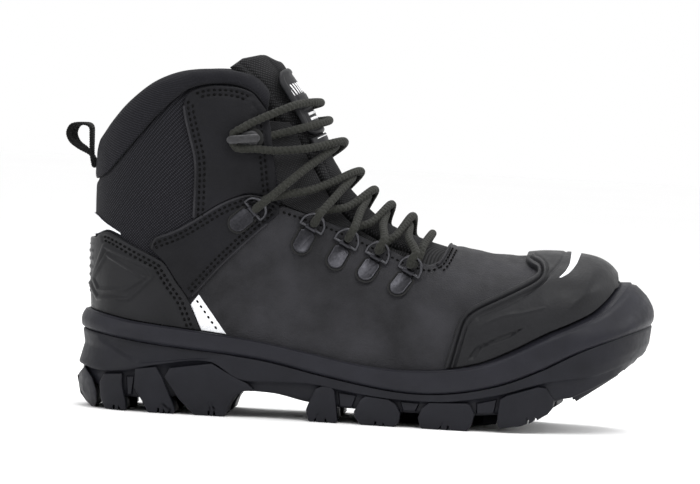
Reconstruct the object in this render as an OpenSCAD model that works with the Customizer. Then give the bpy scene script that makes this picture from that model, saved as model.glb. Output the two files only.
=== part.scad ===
// Steel toe work boot, right foot. Lateral side towards -Y, toe towards +X, floor at Z = 0.
// Every layer of the upper is a slice between two offsets of one last-shaped form, cut to an
// outline drawn in side view, so neighbouring pieces meet without overlapping.

/* [Upper] */
// Half width of the upper at the ball of the foot
ball_half = 50; // [46:0.5:54]
// Half width of the upper at the heel
heel_half = 37; // [34:0.5:40]
// Thickness of the leather and textile panels
leather = 1.8; // [1.4:0.1:2.2]
// Thickness of the padded lining, measured from inside the leather
padding = 3.6; // [3.2:0.1:4.5]
// Thickness of the toe overlay and heel cap
overlay = 2.2; // [1.6:0.1:2.6]
// Thickness of the steel toe cap
steel = 1.9; // [1.5:0.1:2.2]

/* [Sole] */
// Half width of the sole at the ball of the foot
sole_ball_half = 56; // [54:0.5:60]
// Half width of the sole at the heel
sole_heel_half = 42; // [41:0.5:45]

/* [Lacing] */
// Diameter of the round lace
lace_d = 4.2; // [3.4:0.1:4.4]
// Wire diameter of the D-rings
ring_wire = 1.6; // [1.2:0.1:1.8]
// Outer width of the D-rings
ring_w = 14; // [13:0.5:16]
// Rest angle of the rings above the leather
ring_lift = 38; // [34:1:44]

/* [Hidden] */
$fn = 32;

// ---- curves through points -------------------------------------------------
function span(x, p, i = 0) = i >= len(p) - 2 || x < p[i + 1][0] ? i : span(x, p, i + 1);
function slope(p, i) = let (a = max(i - 1, 0), b = min(i + 1, len(p) - 1))
    (p[b][1] - p[a][1]) / (p[b][0] - p[a][0]);
// smooth height at x through the points p, each [x, height], in rising x
function smooth(x, p) =
    let (i = span(x, p), h = p[i + 1][0] - p[i][0],
         t = min(max((x - p[i][0]) / h, 0), 1), u = t * t, v = u * t)
    (2 * v - 3 * u + 1) * p[i][1] + (v - 2 * u + t) * h * slope(p, i)
    + (3 * u - 2 * v) * p[i + 1][1] + (v - u) * h * slope(p, i + 1);
// Catmull-Rom point between b and c
function crom(a, b, c, d, t) =
    (2 * b + (c - a) * t + (2 * a - 5 * b + 4 * c - d) * t * t
     + (3 * b - a - 3 * c + d) * t * t * t) / 2;
// n points a span along a list of points
function spline(p, n) = let (m = len(p) - 1)
    concat([for (i = [0:m - 1], k = [0:n - 1])
            crom(p[max(i - 1, 0)], p[i], p[i + 1], p[min(i + 2, m)], k / n)], [p[m]]);
function steps(a, b, n) = [for (i = [0:n]) a + (b - a) * i / n];
function unit(v) = v / norm(v);

// ---- the last: ridge, back and width ---------------------------------------
// ridge from the toe over the instep to above the tongue, as [x, z]
RIDGE = [[138.4, 14], [138.5, 50], [138, 72], [134.5, 83], [126, 89.5], [112, 91.8],
         [98, 92], [84, 90.5], [70, 91.2], [56, 93.5], [42, 96.5], [29, 100.5],
         [17, 105], [6, 112], [-3, 120.5], [-10, 130], [-16, 140], [-21, 151],
         [-27, 162], [-33.5, 172.5], [-41, 182.5], [-49, 193], [-57, 204]];
R = spline(RIDGE, 3);
ridge_end = len(R) - 1;
function ridge_dir(i) = unit(R[min(i + 1, ridge_end)] - R[max(i - 1, 0)]);
// distance from the ridge, positive inside the boot
function seg_dist(p, a, b) =
    let (d = b - a, t = min(max((p - a) * d / (d * d), 0), 1), q = p - a - t * d)
    [norm(q), d[0] * (p[1] - a[1]) - d[1] * (p[0] - a[0])];
function ridge_dist(p) =
    let (all = [for (i = [0:ridge_end - 1]) seg_dist(p, R[i], R[i + 1])],
         best = min([for (v = all) v[0]]),
         side = [for (v = all) if (v[0] == best) v[1]][0])
    side >= 0 ? best : -best;
function back_x(z) = -141 + 0.0008 * pow(z - 105, 2);
// middle line: the toe sweeps towards the medial side, and the whole boot centres on Y = 0
mid_y = -2.2;
toe_sweep = 7;
function sweep_y(x) = mid_y + toe_sweep * pow(max(x + 20, 0) / 160, 2);
// square of a rounding that is 0 at the silhouette and 1 further in
function round_sq(t) = 1 - pow(max(1 - t, 0), 2.5);
ball_at = 60;
function half_base(x) = smooth(x, [[-145, heel_half], [-60, heel_half + 0.5], [-20, 40.5],
    [20, 45.5], [ball_at, ball_half], [90, ball_half - 0.5], [120, 47], [145, 44]]);
round_back = 42;
function width_sq(x, z) =
    let (widen = 0.06 * max(z - 60, 0) * min(max((10 - x) / 70, 0), 1),
         r = smooth(x, [[-60, 75], [0, 75], [30, 66], [60, 56], [100, 42], [140, 40]]))
    pow(half_base(x) + widen, 2) * round_sq(ridge_dist([x, z]) / r)
    * round_sq((x - back_x(z)) / round_back);
function half_width(x, z) = sqrt(max(width_sq(x, z), 0));
// point of the upper at side view x, z, moved out by each offset t in ts; the lateral side
function skin(x, z, ts) =
    let (w = half_width(x, z), d = 0.6,
         n = unit([-(width_sq(x + d, z) - width_sq(x - d, z)) / (4 * d), w,
                   -(width_sq(x, z + d) - width_sq(x, z - d)) / (4 * d)]))
    [for (t = ts) [x + t * n[0], max(w + t * n[1], 0), z + t * n[2]]];
function on_side(p, side) = [p[0], sweep_y(p[0]) + side * p[1], p[2]];
function on_upper(x, z, side, t = 0) = on_side(skin(x, z, [t])[0], side);
function normal_at(x, z, side) = unit(on_upper(x, z, side, 1) - on_upper(x, z, side, 0));

// ---- outlines in side view -----------------------------------------------------
function lengths(p) = [for (i = 0, s = 0; i < len(p);
    s = s + (i < len(p) - 1 ? norm(p[i + 1] - p[i]) : 0), i = i + 1) s];
// point at the fraction f of a line of points
function along(p, f) =
    let (l = lengths(p), d = f * l[len(l) - 1],
         i = max([for (k = [0:len(p) - 2]) if (l[k] <= d + 1e-9) k]))
    p[i] + (p[i + 1] - p[i]) * (d - l[i]) / (l[i + 1] - l[i]);
function even(p, n) = [for (k = [0:n]) along(p, k / n)];
// n + 1 points, crowded towards the end, where the form turns over its silhouette
function crowded(p, n) = [for (k = [0:n]) along(p, sin(90 * k / n))];
function reverse(p) = [for (i = [len(p) - 1:-1:0]) p[i]];
// grid between four sides; with wrap, low and high run crowded from the front to a silhouette
function coons(low, high, first, last, wrap) =
    let (m = len(low) - 1, n = len(first) - 1)
    [for (j = [0:n]) [for (i = [0:m]) let (u = wrap ? sin(90 * i / m) : i / m, v = j / n)
        (1 - v) * low[i] + v * high[i] + (1 - u) * first[j] + u * last[j]
        - (1 - u) * (1 - v) * low[0] - u * (1 - v) * low[m]
        - (1 - u) * v * high[0] - u * v * high[m]]];

// ---- shells --------------------------------------------------------------------
function grid_faces(rows, cols, start, flip) =
    [for (j = [0:rows - 2], i = [0:cols - 2])
        let (a = start + j * cols + i, b = a + 1, c = a + cols, d = c + 1)
        each (flip ? [[a, c, b], [b, c, d]] : [[a, b, c], [b, d, c]])];
function edge_faces(path, shift, flip) =
    [for (i = [0:len(path) - 2]) let (a = path[i], b = path[i + 1])
        each (flip ? [[a, b, a + shift], [b, b + shift, a + shift]]
                   : [[a, a + shift, b], [b, a + shift, b + shift]])];
// closed solid between two grids of points of the same size
module between(inner, outer) {
    rows = len(outer);
    cols = len(outer[0]);
    n = rows * cols;
    rim = concat([for (i = [0:cols - 1]) i], [for (j = [1:rows - 1]) j * cols + cols - 1],
                 [for (i = [cols - 2:-1:0]) (rows - 1) * cols + i],
                 [for (j = [rows - 2:-1:0]) j * cols]);
    polyhedron([for (r = concat(inner, outer), p = r) p],
               concat(grid_faces(rows, cols, 0, true), grid_faces(rows, cols, n, false),
                      edge_faces(rim, n, true)), convexity = 8);
}
// side-view grid made into a panel between two offsets; wrap joins both sides at the silhouette
module panel(grid, low, high, side) {
    pts = [for (r = grid) [for (p = r) skin(p[0], p[1], [low, high])]];
    m = len(grid[0]) - 1;
    wrap = side == 0;
    sheet = [for (k = [0, 1]) [for (r = pts) wrap
        ? concat([for (i = [0:m]) on_side(i == m ? [r[i][k][0], 0, r[i][k][2]] : r[i][k], -1)],
                 [for (i = [m - 1:-1:0]) on_side(r[i][k], 1)])
        : [for (i = [0:m]) on_side(r[side < 0 ? i : m - i][k], side)]]];
    between(sheet[0], sheet[1]);
}

// ---- sole ------------------------------------------------------------------
// top of the midsole wall and the line between midsole and outsole, as [x, z]
RIM = [[-146, 52.5], [-118, 47.7], [-81, 44], [-49, 40.5], [-20, 35.5], [4, 31.4],
       [28, 29.8], [51, 31.3], [70, 35], [87, 42], [108, 53], [120, 58.5], [130, 64],
       [137, 70.5], [141, 75.5], [144, 79.5]];
SEAM = [[-146, 41.6], [-107, 36.2], [-49, 31], [-11, 23.6], [26, 18.2], [52, 18.8],
        [78, 24.3], [99, 33], [119, 43.5], [140, 52], [157, 58]];
function rim_z(x) = smooth(x, RIM);
function seam_z(x) = smooth(x, SEAM);
// underside of the foot space
function base_z(x) = smooth(x, [[-145, 31], [-90, 29], [-40, 25], [0, 20.5], [40, 18.5],
                                [75, 20], [100, 24], [120, 30], [140, 38]]);
function sole_half(x) = smooth(x, [[-146, sole_heel_half], [-70, sole_heel_half + 1], [-20, 45],
    [20, 51], [58, sole_ball_half], [90, sole_ball_half - 1], [120, 52], [157, 50]]);
function sole_width(x, heel, toe) = sole_half(x)
    * sqrt(max(round_sq((x - heel) / 46) * round_sq((toe - x) / 49), 0));
// tread in side view: lugs on the floor with recessed blocks between, as [x, z] in rising x
TREAD = [[-145, 5], [-144.4, 4.4], [-143, 3], [-141.6, 1.9], [-140, 1], [-138, 0.4], [-136, 0],
         [-131.5, 14], [-129.5, 7], [-128.5, 0], [-123, 0], [-117, 0],
         [-111, 14], [-106, 7], [-105, 0], [-92, 0], [-86, 15], [-82, 7], [-81, 0], [-65, 0],
         [-57, 14], [-40, 13], [-22, 10], [-20, 0], [-6, 0], [-2, 8], [5, 8], [7, 0], [25.6, 0],
         [30, 8], [36, 8], [39, 0], [63, 0], [67, 9], [76, 9], [79, 2], [87, 3], [95, 5],
         [106, 15], [112, 17], [118, 17], [124, 20], [129, 23], [133, 26], [136, 28],
         [138.5, 30], [140, 31]];
tread_end = len(TREAD) - 1;
// closed stack of rings, each from heel to toe along the lateral side and back
module stack(levels) {
    n = len(levels[0]);
    half = n / 2 - 1;
    top = (len(levels) - 1) * n;
    cap = [for (i = [0:half - 1]) each [[i, n - 1 - i, i + 1], [i + 1, n - 1 - i, n - 2 - i]]];
    walls = [for (j = [0:len(levels) - 2], i = [0:n - 1])
             let (a = j * n + i, b = j * n + (i + 1) % n) each [[a, b, a + n], [b, b + n, a + n]]];
    polyhedron([for (l = levels, p = l) p],
               concat([for (f = cap) reverse(f)], [for (f = walls) reverse(f)],
                      [for (f = cap) f + [top, top, top]]), convexity = 8);
}
// a ring from half its points, each [x, half width, z]
function ring_of(h) = concat([for (p = h) [p[0], sweep_y(p[0]) - max(p[1], 0.1), p[2]]],
                             [for (p = reverse(h)) [p[0], sweep_y(p[0]) + max(p[1], 0.1), p[2]]]);
// stations shared by every ring, from 0 at the heel to 1 at the toe
function station(i) = (TREAD[i][0] - TREAD[0][0]) / (TREAD[tread_end][0] - TREAD[0][0]);
function heel_to_toe(heel, toe) = [for (i = [0:tread_end]) heel + (toe - heel) * station(i)];
seam_xs = heel_to_toe(-144.3, 155.2);
rim_xs = heel_to_toe(-142.5, 143.8);
fit_gap = 0.5;
cup_wall = 4;
cup_depth = 5;
// inside of the outsole's cup, at its lip and its floor, drawn in by gap
function cup_lip(gap) = let (xs = heel_to_toe(-144.3 + cup_wall + gap, 149 - gap))
    [for (i = [0:tread_end]) [xs[i], sole_width(xs[i], xs[0] - 0.1, 149.1 - gap) - cup_wall - gap,
                              seam_z(seam_xs[i])]];
function cup_floor(gap) = let (xs = heel_to_toe(-138.5 + gap, 142 - gap))
    [for (x = xs) [x, sole_width(x, xs[0] - 0.1, 142.1 - gap) - cup_wall - gap,
                   base_z(x) - cup_depth + gap]];
function seam_ring() = [for (x = seam_xs) [x, sole_width(x, -144.4, 155.3), seam_z(x)]];
function skin_ring(xs, zs) = [for (i = [0:tread_end])
    let (p = skin(xs[i], zs[i], [fit_gap])[0]) [p[0], p[1], zs[i]]];
module midsole() {
    belly = [for (x = heel_to_toe(-144.6, 156.7)) [x, sole_width(x, -144.7, 156.8) + 0.8,
                                                   (seam_z(x) + rim_z(min(x, 144))) / 2]];
    lip = [for (x = rim_xs) [x, sole_width(x, -142.6, 143.9) - 1, rim_z(x)]];
    lip_z = [for (x = rim_xs) rim_z(x)];
    inner_xs = heel_to_toe(-138.9, 136.2);
    foot_xs = heel_to_toe(-136.6, 138.2);
    foot_z = [for (x = foot_xs) base_z(x)];
    color([0.17, 0.17, 0.19]) stack([for (h = [cup_floor(0.1), cup_lip(0.1), seam_ring(), belly, lip,
        skin_ring(inner_xs, lip_z), skin_ring(heel_to_toe(-138.3, 138.2), 0.75 * lip_z + 0.25 * foot_z),
        skin_ring(foot_xs, foot_z)]) ring_of(h)]);
}
// stations that part the outsole into heel, arch and forefoot
function station_at(x) = [for (i = [0:tread_end]) if (TREAD[i][0] == x) i][0];
arch_from = station_at(-57);
arch_to = station_at(-22);
// the outsole's U-shaped section, swept over the stations i0 to i1
module outsole_part(i0, i1) {
    waist_xs = heel_to_toe(-146, 151);
    sides = [
        [for (p = TREAD) [p[0], sole_width(p[0], -145.1, 140.1) - 1.5, p[1]]],
        [for (i = [0:tread_end]) let (x = waist_xs[i], z = TREAD[i][1])
            [x, sole_width(x, -146.1, 151.1), max(0.5 * seam_z(x), z + 0.4 * (seam_z(x) - z))]],
        [for (p = seam_ring()) p - [0, 0, 0.1]],
        [for (p = cup_lip(0)) p - [0, 0, 0.1]],
        cup_floor(0)];
    // low, waist, top, lip and floor of the lateral side, then back down the medial side
    loop = [for (i = [i0:i1]) [for (k = [0:9]) let (p = sides[k < 5 ? k : 9 - k][i])
        [p[0], sweep_y(p[0]) + (k < 5 ? -1 : 1) * max(p[1], 0.1), p[2]]]];
    n = i1 - i0;
    cap = [[0, 1, 4], [1, 2, 3], [1, 3, 4], [0, 4, 5], [0, 5, 9], [9, 5, 8], [8, 6, 7], [8, 5, 6]];
    walls = [for (i = [0:n - 1], k = [0:9]) let (a = i * 10 + k, b = i * 10 + (k + 1) % 10)
             each [[a, b, a + 10], [b, b + 10, a + 10]]];
    polyhedron([for (l = loop, p = l) p],
               concat([for (f = cap) reverse(f)], walls,
                      [for (f = cap) f + [1, 1, 1] * n * 10]), convexity = 8);
}
module outsole_heel() { color([0.13, 0.13, 0.15]) outsole_part(0, arch_from); }
module outsole_arch() { color([0.12, 0.12, 0.14]) outsole_part(arch_from, arch_to); }
module outsole_forefoot() { color([0.13, 0.13, 0.15]) outsole_part(arch_to, tread_end); }
// slab that follows the foot bed: offset of its edge, bottom and top above base_z
module bed_slab(edge, low, high) {
    function at_height(h) = [for (x = heel_to_toe(-136.4, 138))
        let (z = base_z(x) + h, p = skin(x, z, [edge])[0]) [p[0], p[1], z]];
    stack([ring_of(at_height(low)), ring_of(at_height(high))]);
}
shank_t = 1.5;
board = 3.6;
bed = 9;
module insole_board() { color("tan") bed_slab(-0.6, shank_t + 0.1, board - 0.1); }
module footbed() { color("dimgray") bed_slab(-leather - steel - padding - 0.7, board, bed); }
module shank() {
    xs = even([[-92, 0], [12, 0]], 12);
    color("silver") stack([for (h = [0.05, shank_t])
        ring_of([for (p = xs) [p[0], 11, base_z(p[0]) + h]])]);
}

// ---- edges of the upper's pieces --------------------------------------------------
COLLAR_SEAM = [[-50, 159.5], [-57, 168.5], [-66, 173], [-78, 173.6], [-90, 171], [-97.8, 165.5],
               [-107.7, 155.5], [-117.6, 143.9], [-127.5, 131.8], [-134, 124.5], [-140.9, 120.5]];
COLLAR_TOP = [[-49, 172], [-55, 178], [-64, 181], [-76, 181.8], [-90, 180.5], [-102, 177],
              [-113, 171.5], [-124, 162.5], [-132, 153], [-136.5, 146.5], [-139.9, 142]];
function board_line(x) = [x, base_z(x) + board + 0.1];
function up_back(low, high, n) = [for (k = [0:n]) let (z = low + (high - low) * k / n) [back_x(z), z]];
function ridge_at_x(x) = lookup(-x, [for (i = [9:ridge_end]) [-R[i][0], R[i][1]]]);
function front_top(x) = lookup(x, [[134.5, 82.9], [136.1, 79.9], [137.2, 76.5], [137.9, 72.4]]);

layer_gap = 0.3;
// gap under the pieces sewn on top, and their thickness where it is a thin film
lift = 0.25;
film = 0.8;
// panels that wrap the toe: rows at a constant x, from below to the ridge
toe_rows = 12;
module toe_box(rear, front, low, high) {
    // rear is a line of points from below to the ridge
    tip = 137.9;
    xs = [for (k = [0:toe_rows]) front + (tip - front) * sin(90 * k / toe_rows)];
    rows = [for (x = xs) let (top = x > 134.5 ? front_top(x) : ridge_at_x(x))
            crowded([board_line(x), [x, top]], 9)];
    panel(concat([for (k = [0:3]) [for (i = [0:9]) let (r = crowded(rear, 9)[i])
                  r + (rows[0][i] - r) * k / 4]], rows), low, high, 0);
}
// the vamp meets the quarters here, from the board up to the ridge
VAMP_BACK = [board_line(48), [50, 50], [44.8, 78], [44.8, 88], [47, 95.4]];
module vamp() { color([0.15, 0.15, 0.16]) toe_box(VAMP_BACK, 62, -leather, 0); }
module vamp_lining() {
    color([0.25, 0.25, 0.27])
    toe_box(VAMP_BACK, 62, -leather - steel - padding, -leather - steel - layer_gap);
}
module steel_toe_cap() {
    color("lightsteelblue")
    toe_box([board_line(86), [89, 50], [94, 80], [98, 92]],
        100, -leather - steel, -leather - layer_gap - 0.05);
}
counter_t = 1.05;
module heel_counter() {
    low = crowded([board_line(-88), board_line(-137)], 10);
    high = crowded([[-94, 56], [-104, 70], [-120, 80], [-140.5, 83]], 10);
    ground = low[10][1];
    color("saddlebrown") panel(coons(low, high, even([low[0], high[0]], 5),
        up_back(ground, 83, 5), true), -leather - counter_t - lift, -leather - lift, 0);
}
// wrap round the heel from the front edge, a list of points upwards, to the back
module rear_wrap(front, low_t, high_t) {
    n = 12;
    first = even(front, n);
    ground = board_line(-137)[1];
    last = up_back(ground, 120, n);
    low = [for (p = crowded([first[0], last[0]], n)) [p[0], max(p[1], board_line(p[0])[1])]];
    high = [for (p = crowded(spline(COLLAR_SEAM, 3), n)) p - [0, 0.4]];
    panel(coons(low, concat([first[n]], [for (k = [1:n - 1]) high[k]], [last[n]]), first, last, true),
          low_t, high_t, 0);
}
module rear_textile() {
    color([0.1, 0.1, 0.11]) rear_wrap([board_line(-100.3), [-100.3, 60], [-97.6, 76.7], [-80.2, 88.4],
        [-60, 101.5], [-40.5, 112.6], [-41.3, 114.5], [-44, 128], [-47, 143], [-50, 159.1]],
        -leather, 0);
}
module quarter_lining() {
    color([0.25, 0.25, 0.27]) rear_wrap([board_line(44), [43, 60], [40, 85], [28, 87.4], [12, 93.9],
        [-4, 100.4], [-22, 106.9], [-36, 110.9], [-41.3, 114.5], [-44, 128], [-47, 143], [-50, 159.1]],
        -leather - padding, -leather - 1.6);
}
module quarter(side) {
    low = [for (x = steps(47.7, -99.7, 16)) board_line(x)];
    high = even([[44.3, 87.6], [38, 85], [28, 87], [12, 93.5], [-4, 100], [-22, 106.5], [-36, 110.5],
                 [-40, 111.7], [-60, 100.7], [-80, 87.7], [-96.3, 75.4]], 16);
    color([0.15, 0.15, 0.16]) panel(coons(low, high, even([low[0], [49.6, 50], [44.4, 78], high[0]], 6),
        even([low[16], [-99.7, 60], high[16]], 6), false), -leather, 0, side);
}
// the padded collar reaches into the boot and stands a little proud of the leather
collar_in = 9;
collar_out = 1.4;
module collar() {
    color([0.12, 0.12, 0.13]) panel(coons(crowded(spline(COLLAR_SEAM, 3), 14),
        crowded(spline(COLLAR_TOP, 3), 14), even([[-50, 159.5], [-49, 172]], 4),
        up_back(120.5, 142, 4), true), -collar_in, collar_out, 0);
}
// the midsole's rim where it meets the upper, a little above it
function rim_line(x) = [x, lookup(x, [for (i = [0:tread_end])
    [heel_to_toe(-138.9, 136.2)[i], rim_z(rim_xs[i])]]) + 0.4];
module toe_overlay() {
    // rear edge from the sole up to the ridge, then rows closing on the toe tip
    edge = crowded([rim_line(49.5), [53, 47.7], [56.5, 60], [65, 67], [75.3, 72], [85.6, 77.5],
                    [92, 81.5], [94, 86], [90, 90.85]], 10);
    tip = 135.6;
    rows = [for (k = [0:toe_rows])
        let (u = sin(90 * k / toe_rows), f = 90 + (tip - 90) * u,
             a = along([for (x = [49.5, 70, 90, 110, 128, tip]) rim_line(x)], u),
             lo = [a[0], rim_line(a[0])[1]],
             hi = [f, f > 134.5 ? front_top(f) : ridge_at_x(f)],
             straight = crowded([lo, hi], 10), e = crowded([edge[0], edge[10]], 10),
             keep = pow(1 - k / toe_rows, 2))
        [for (i = [0:10]) straight[i] + keep * (edge[i] - e[i])]];
    color([0.14, 0.14, 0.15]) panel(rows, lift, overlay, 0);
}
module toe_reflective_strip() {
    rear = crowded([[104.5, 79], [107, 84], [109, 88.5], [110.5, 91.83]], 8);
    front = crowded([[105.5, 79], [109.5, 84], [112.5, 88.5], [114.5, 91.75]], 8);
    color("white") panel([for (k = [0, 1, 2]) [for (i = [0:8]) rear[i] + (front[i] - rear[i]) * k / 2]],
                         overlay + 0.2, overlay + 0.7, 0);
}
module heel_cap() {
    n = 12;
    low = crowded([rim_line(-80.2), rim_line(-110), [-138.85, rim_line(-138.8)[1]]], n);
    high = crowded([[-99.5, 77.6], [-102.7, 80], [-114.6, 85.7], [-130.7, 92.8], [-137.4, 89.4],
                    [-140.8, 89.2]], n);
    first = even([low[0], [-86.9, 59.8], [-93.7, 68.9], high[0]], 6);
    color([0.13, 0.13, 0.14]) panel(coons(low, high, first, up_back(low[n][1], 89.2, 6), true),
        lift, overlay, 0);
}
module heel_reflective_strip() {
    n = 8;
    low = crowded([[-124, 92], [-131, 94], [-137.4, 91.5], [-140.85, 91]], n);
    high = crowded([[-124.5, 93], [-133, 97.5], [-138, 100.8], [-140.98, 102]], n);
    color("white") panel(coons(low, high, even([low[0], high[0]], 2), up_back(91, 102, 2), true),
        lift, film, 0);
}
module side_strip(side) {
    low = even([rim_line(-79.2), rim_line(-66)], 3);
    high = even([[-85.5, 57.5], [-81.4, 63]], 3);
    color("white") panel(reverse(coons(low, high, even([low[0], high[0]], 4), even([low[3],
        high[3]], 4), false)),
                         lift, film, side);
}
module ankle_band(side) {
    top = even([[-101.8, 81.2], [-108.5, 88.6], [-94.2, 96], [-84, 102.5], [-73.8, 109.5],
                [-66, 113.5], [-58.4, 116], [-47.7, 114.5], [-41.8, 111.3]], 14);
    low = even([[-86.2, 61.8], [-85, 61.5], [-72, 76.9], [-62, 87.4], [-52, 97.4], [-43, 105.8],
                [-41.6, 107.5]], 14);
    first = even([low[0], [-93.2, 70.6], [-99, 78.8], top[0]], 4);
    color([0.15, 0.15, 0.16])
        panel(reverse(coons(low, top, first, even([low[14], top[14]], 4), false)), lift, leather, side);
}
module eyestay(side) {
    low = even([[-86, 101.8], [-84, 103.1], [-73.8, 110.2], [-66, 114.2], [-58.4, 116.7],
                [-47.7, 115.2], [-42.2, 112.6]], 8);
    high = even([[-92, 167.6], [-88, 170.2], [-79.8, 172.3], [-68, 172.1], [-60, 169.6],
                 [-56.4, 166]], 8);
    first = even([low[0], [-86, 124.5], [-87, 135], [-90, 145.4], [-94, 161], high[0]], 8);
    last = even([low[8], [-44, 122], [-47.2, 142.4], [-50.5, 158], high[8]], 8);
    color([0.15, 0.15, 0.16]) panel(reverse(coons(low, high, first, last, false)), lift, leather, side);
}
// ---- tongue ------------------------------------------------------------------
TONGUE_EDGE = [[32, 92], [18, 97], [2, 105], [-11, 117], [-22, 134], [-31, 150], [-40, 163],
               [-52, 176], [-66, 186.5]];
tongue_t = 7;
module tongue() {
    n = 16;
    m = 7;
    first = even(spline(TONGUE_EDGE, 3), n);
    last = even([for (i = [32:62]) R[i]], n);
    low = crowded([first[0], last[0]], m);
    high = crowded([first[n], [-60, 191.5], [-52, 193.6], last[n]], m);
    g = coons(low, high, first, last, true);
    // the wings of the top lie deeper, inside the collar
    function wing(i, j) = pow(1 - i / m, 1.5) * min(max((j / n - 0.5) / 0.3, 0), 1);
    half = [for (j = [0:n]) [for (i = [0:m]) let (w = wing(i, j))
        skin(g[j][i][0], g[j][i][1], [-2 - 8.5 * w - tongue_t + 3 * w, -2 - 8.5 * w])]];
    sheet = [for (k = [0, 1]) [for (r = reverse(half)) concat(
        [for (i = [0:m]) on_side(i == m ? [r[i][k][0], 0, r[i][k][2]] : r[i][k], -1)],
        [for (i = [m - 1:-1:0]) on_side(r[i][k], 1)])]];
    color([0.1, 0.1, 0.11]) between(sheet[0], sheet[1]);
}
// patch of n rows over the ridge from height low to high, reaching back by the depths in back
module ridge_patch(low, high, back, t_low, t_high, n) {
    rows = [for (k = [0:n]) let (z = low + (high - low) * k / n, q = ridge_at_z(z),
            b = back[0] + (back[1] - back[0]) * k / n) crowded([q + [-b, -b * 0.55], q], 6)];
    panel(reverse(rows), t_low, t_high, 0);
}
function ridge_at_z(z) = [lookup(z, [for (i = [30:ridge_end]) [R[i][1], R[i][0]]]), z];
label_deep = 1.75;
module tongue_label() { color([0.2, 0.2, 0.21]) ridge_patch(151.5, 184, [7, 6], -label_deep, -0.7, 6); }
module label_bars() {
    color("white") for (i = [0:4]) ridge_patch(153.4 + 2.5 * i, 154.7 + 2.5 * i, [5, 5], -0.5, -0.1, 1);
}
module lace_keeper() { color([0.1, 0.1, 0.1]) ridge_patch(146, 150.5, [6, 6], -label_deep, -0.9, 2); }
module gusset(side) {
    inner = even([[33, 90.2], [17, 94.5], [1, 102.5], [-12.5, 115], [-24, 132.5], [-33, 148.5],
                  [-38, 156]], 10);
    outer = even([[35.5, 86], [28, 87.6], [12, 94.1], [-4, 100.6], [-22, 107.1], [-35.7, 111.1],
                  [-40.7, 114.7], [-43.7, 128], [-46.7, 143], [-49.3, 156]], 10);
    color([0.08, 0.08, 0.09]) panel([for (k = [3:-1:0]) [for (i = [0:10]) inner[i] + (outer[i] -
        inner[i]) * k / 3]],
                                    -3.2, -2.2, side);
}

// ---- D-rings, clips and hooks --------------------------------------------------
// bar of each ring in side view, top to bottom, and the angle from +X of plate towards ring
BARS = [[-55.4, 108.2, 43], [-25, 100.2, 63], [-6.8, 92.4, 63], [9.8, 86, 63], [27.5, 79.5, 63]];
// leather face to bar, over the ankle band for the top ring
bar_high = 2;
clip_w = 9;
clip_t = 0.9;
barrel_w = 6;
barrel_d = 3.3;
ring_legs = 2;
bow_r = (ring_w - ring_wire) / 2;
// frame with X along e and Z along the normal n, at p
function frame_of(e, n, p) = let (x = unit(e - (e * n) * n), y = cross(n, x))
    [[x[0], y[0], n[0], p[0]], [x[1], y[1], n[1], p[1]], [x[2], y[2], n[2], p[2]], [0, 0, 0, 1]];
function bar_frame(i, side) =
    let (b = BARS[i], n = normal_at(b[0], b[1], side))
    frame_of([cos(b[2]), 0, sin(b[2])], n,
             on_upper(b[0], b[1], side, i == 0 ? leather : 0) + bar_high * n);
function place(m, p) = let (q = m * [p[0], p[1], p[2], 1]) [q[0], q[1], q[2]];
module ring_clip() {
    foot = 0.35 - bar_high;
    difference() {
        union() {
            translate([-10, -clip_w / 2, foot]) cube([8, clip_w, clip_t]);
            translate([-10, 0, foot]) cylinder(h = clip_t, d = clip_w);
            translate([-3, -barrel_w / 2, foot]) cube([3, barrel_w, clip_t]);
            rotate([90, 0, 0]) cylinder(h = barrel_w, d = barrel_d, center = true);
        }
        rotate([90, 0, 0]) cylinder(h = 20, d = ring_wire + 0.1, center = true);
    }
}
module ring_clips(side) {
    color([0.3, 0.3, 0.32]) for (i = [0:4]) multmatrix(bar_frame(i, side)) ring_clip();
}
// D of round wire: straight bar, two legs and a half round bow
module d_ring(i, side) {
    color([0.35, 0.35, 0.37]) multmatrix(bar_frame(i, side)) rotate([0, -ring_lift, 0]) {
        rotate([90, 0, 0]) cylinder(h = 2 * bow_r, d = ring_wire, center = true);
        for (s = [-1, 1]) translate([0, s * bow_r, 0]) {
            sphere(d = ring_wire);
            rotate([0, 90, 0]) cylinder(h = ring_legs, d = ring_wire);
        }
        translate([ring_legs, 0, 0]) rotate([0, 0, -90])
            rotate_extrude(angle = 180) translate([bow_r, 0]) circle(d = ring_wire);
    }
}
HOOK = [-68.8, 144.4];
arm_w = 4.4;
arm_high = 6.1;
arm_run = [-0.2, 12.8];
function hook_frame(side) = let (n = normal_at(HOOK[0], HOOK[1], side))
    frame_of([1, 0, 0.12], n, on_upper(HOOK[0], HOOK[1], side, leather) + 0.5 * n);
// base plate, neck and an arm whose free rear end keeps the lace in
module hook(side) {
    color([0.3, 0.3, 0.32]) multmatrix(hook_frame(side)) {
        translate([9, 0, 0]) cylinder(h = 0.9, d = 11);
        translate([3.7, -arm_w / 2, 0.3]) cube([2.2, arm_w, arm_high + 0.7]);
        translate([arm_run[0], -arm_w / 2, arm_high]) cube([arm_run[1] - arm_run[0], arm_w, 1.3]);
        for (x = arm_run) translate([x, 0, arm_high]) cylinder(h = 1.3, d = arm_w);
    }
}

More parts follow.
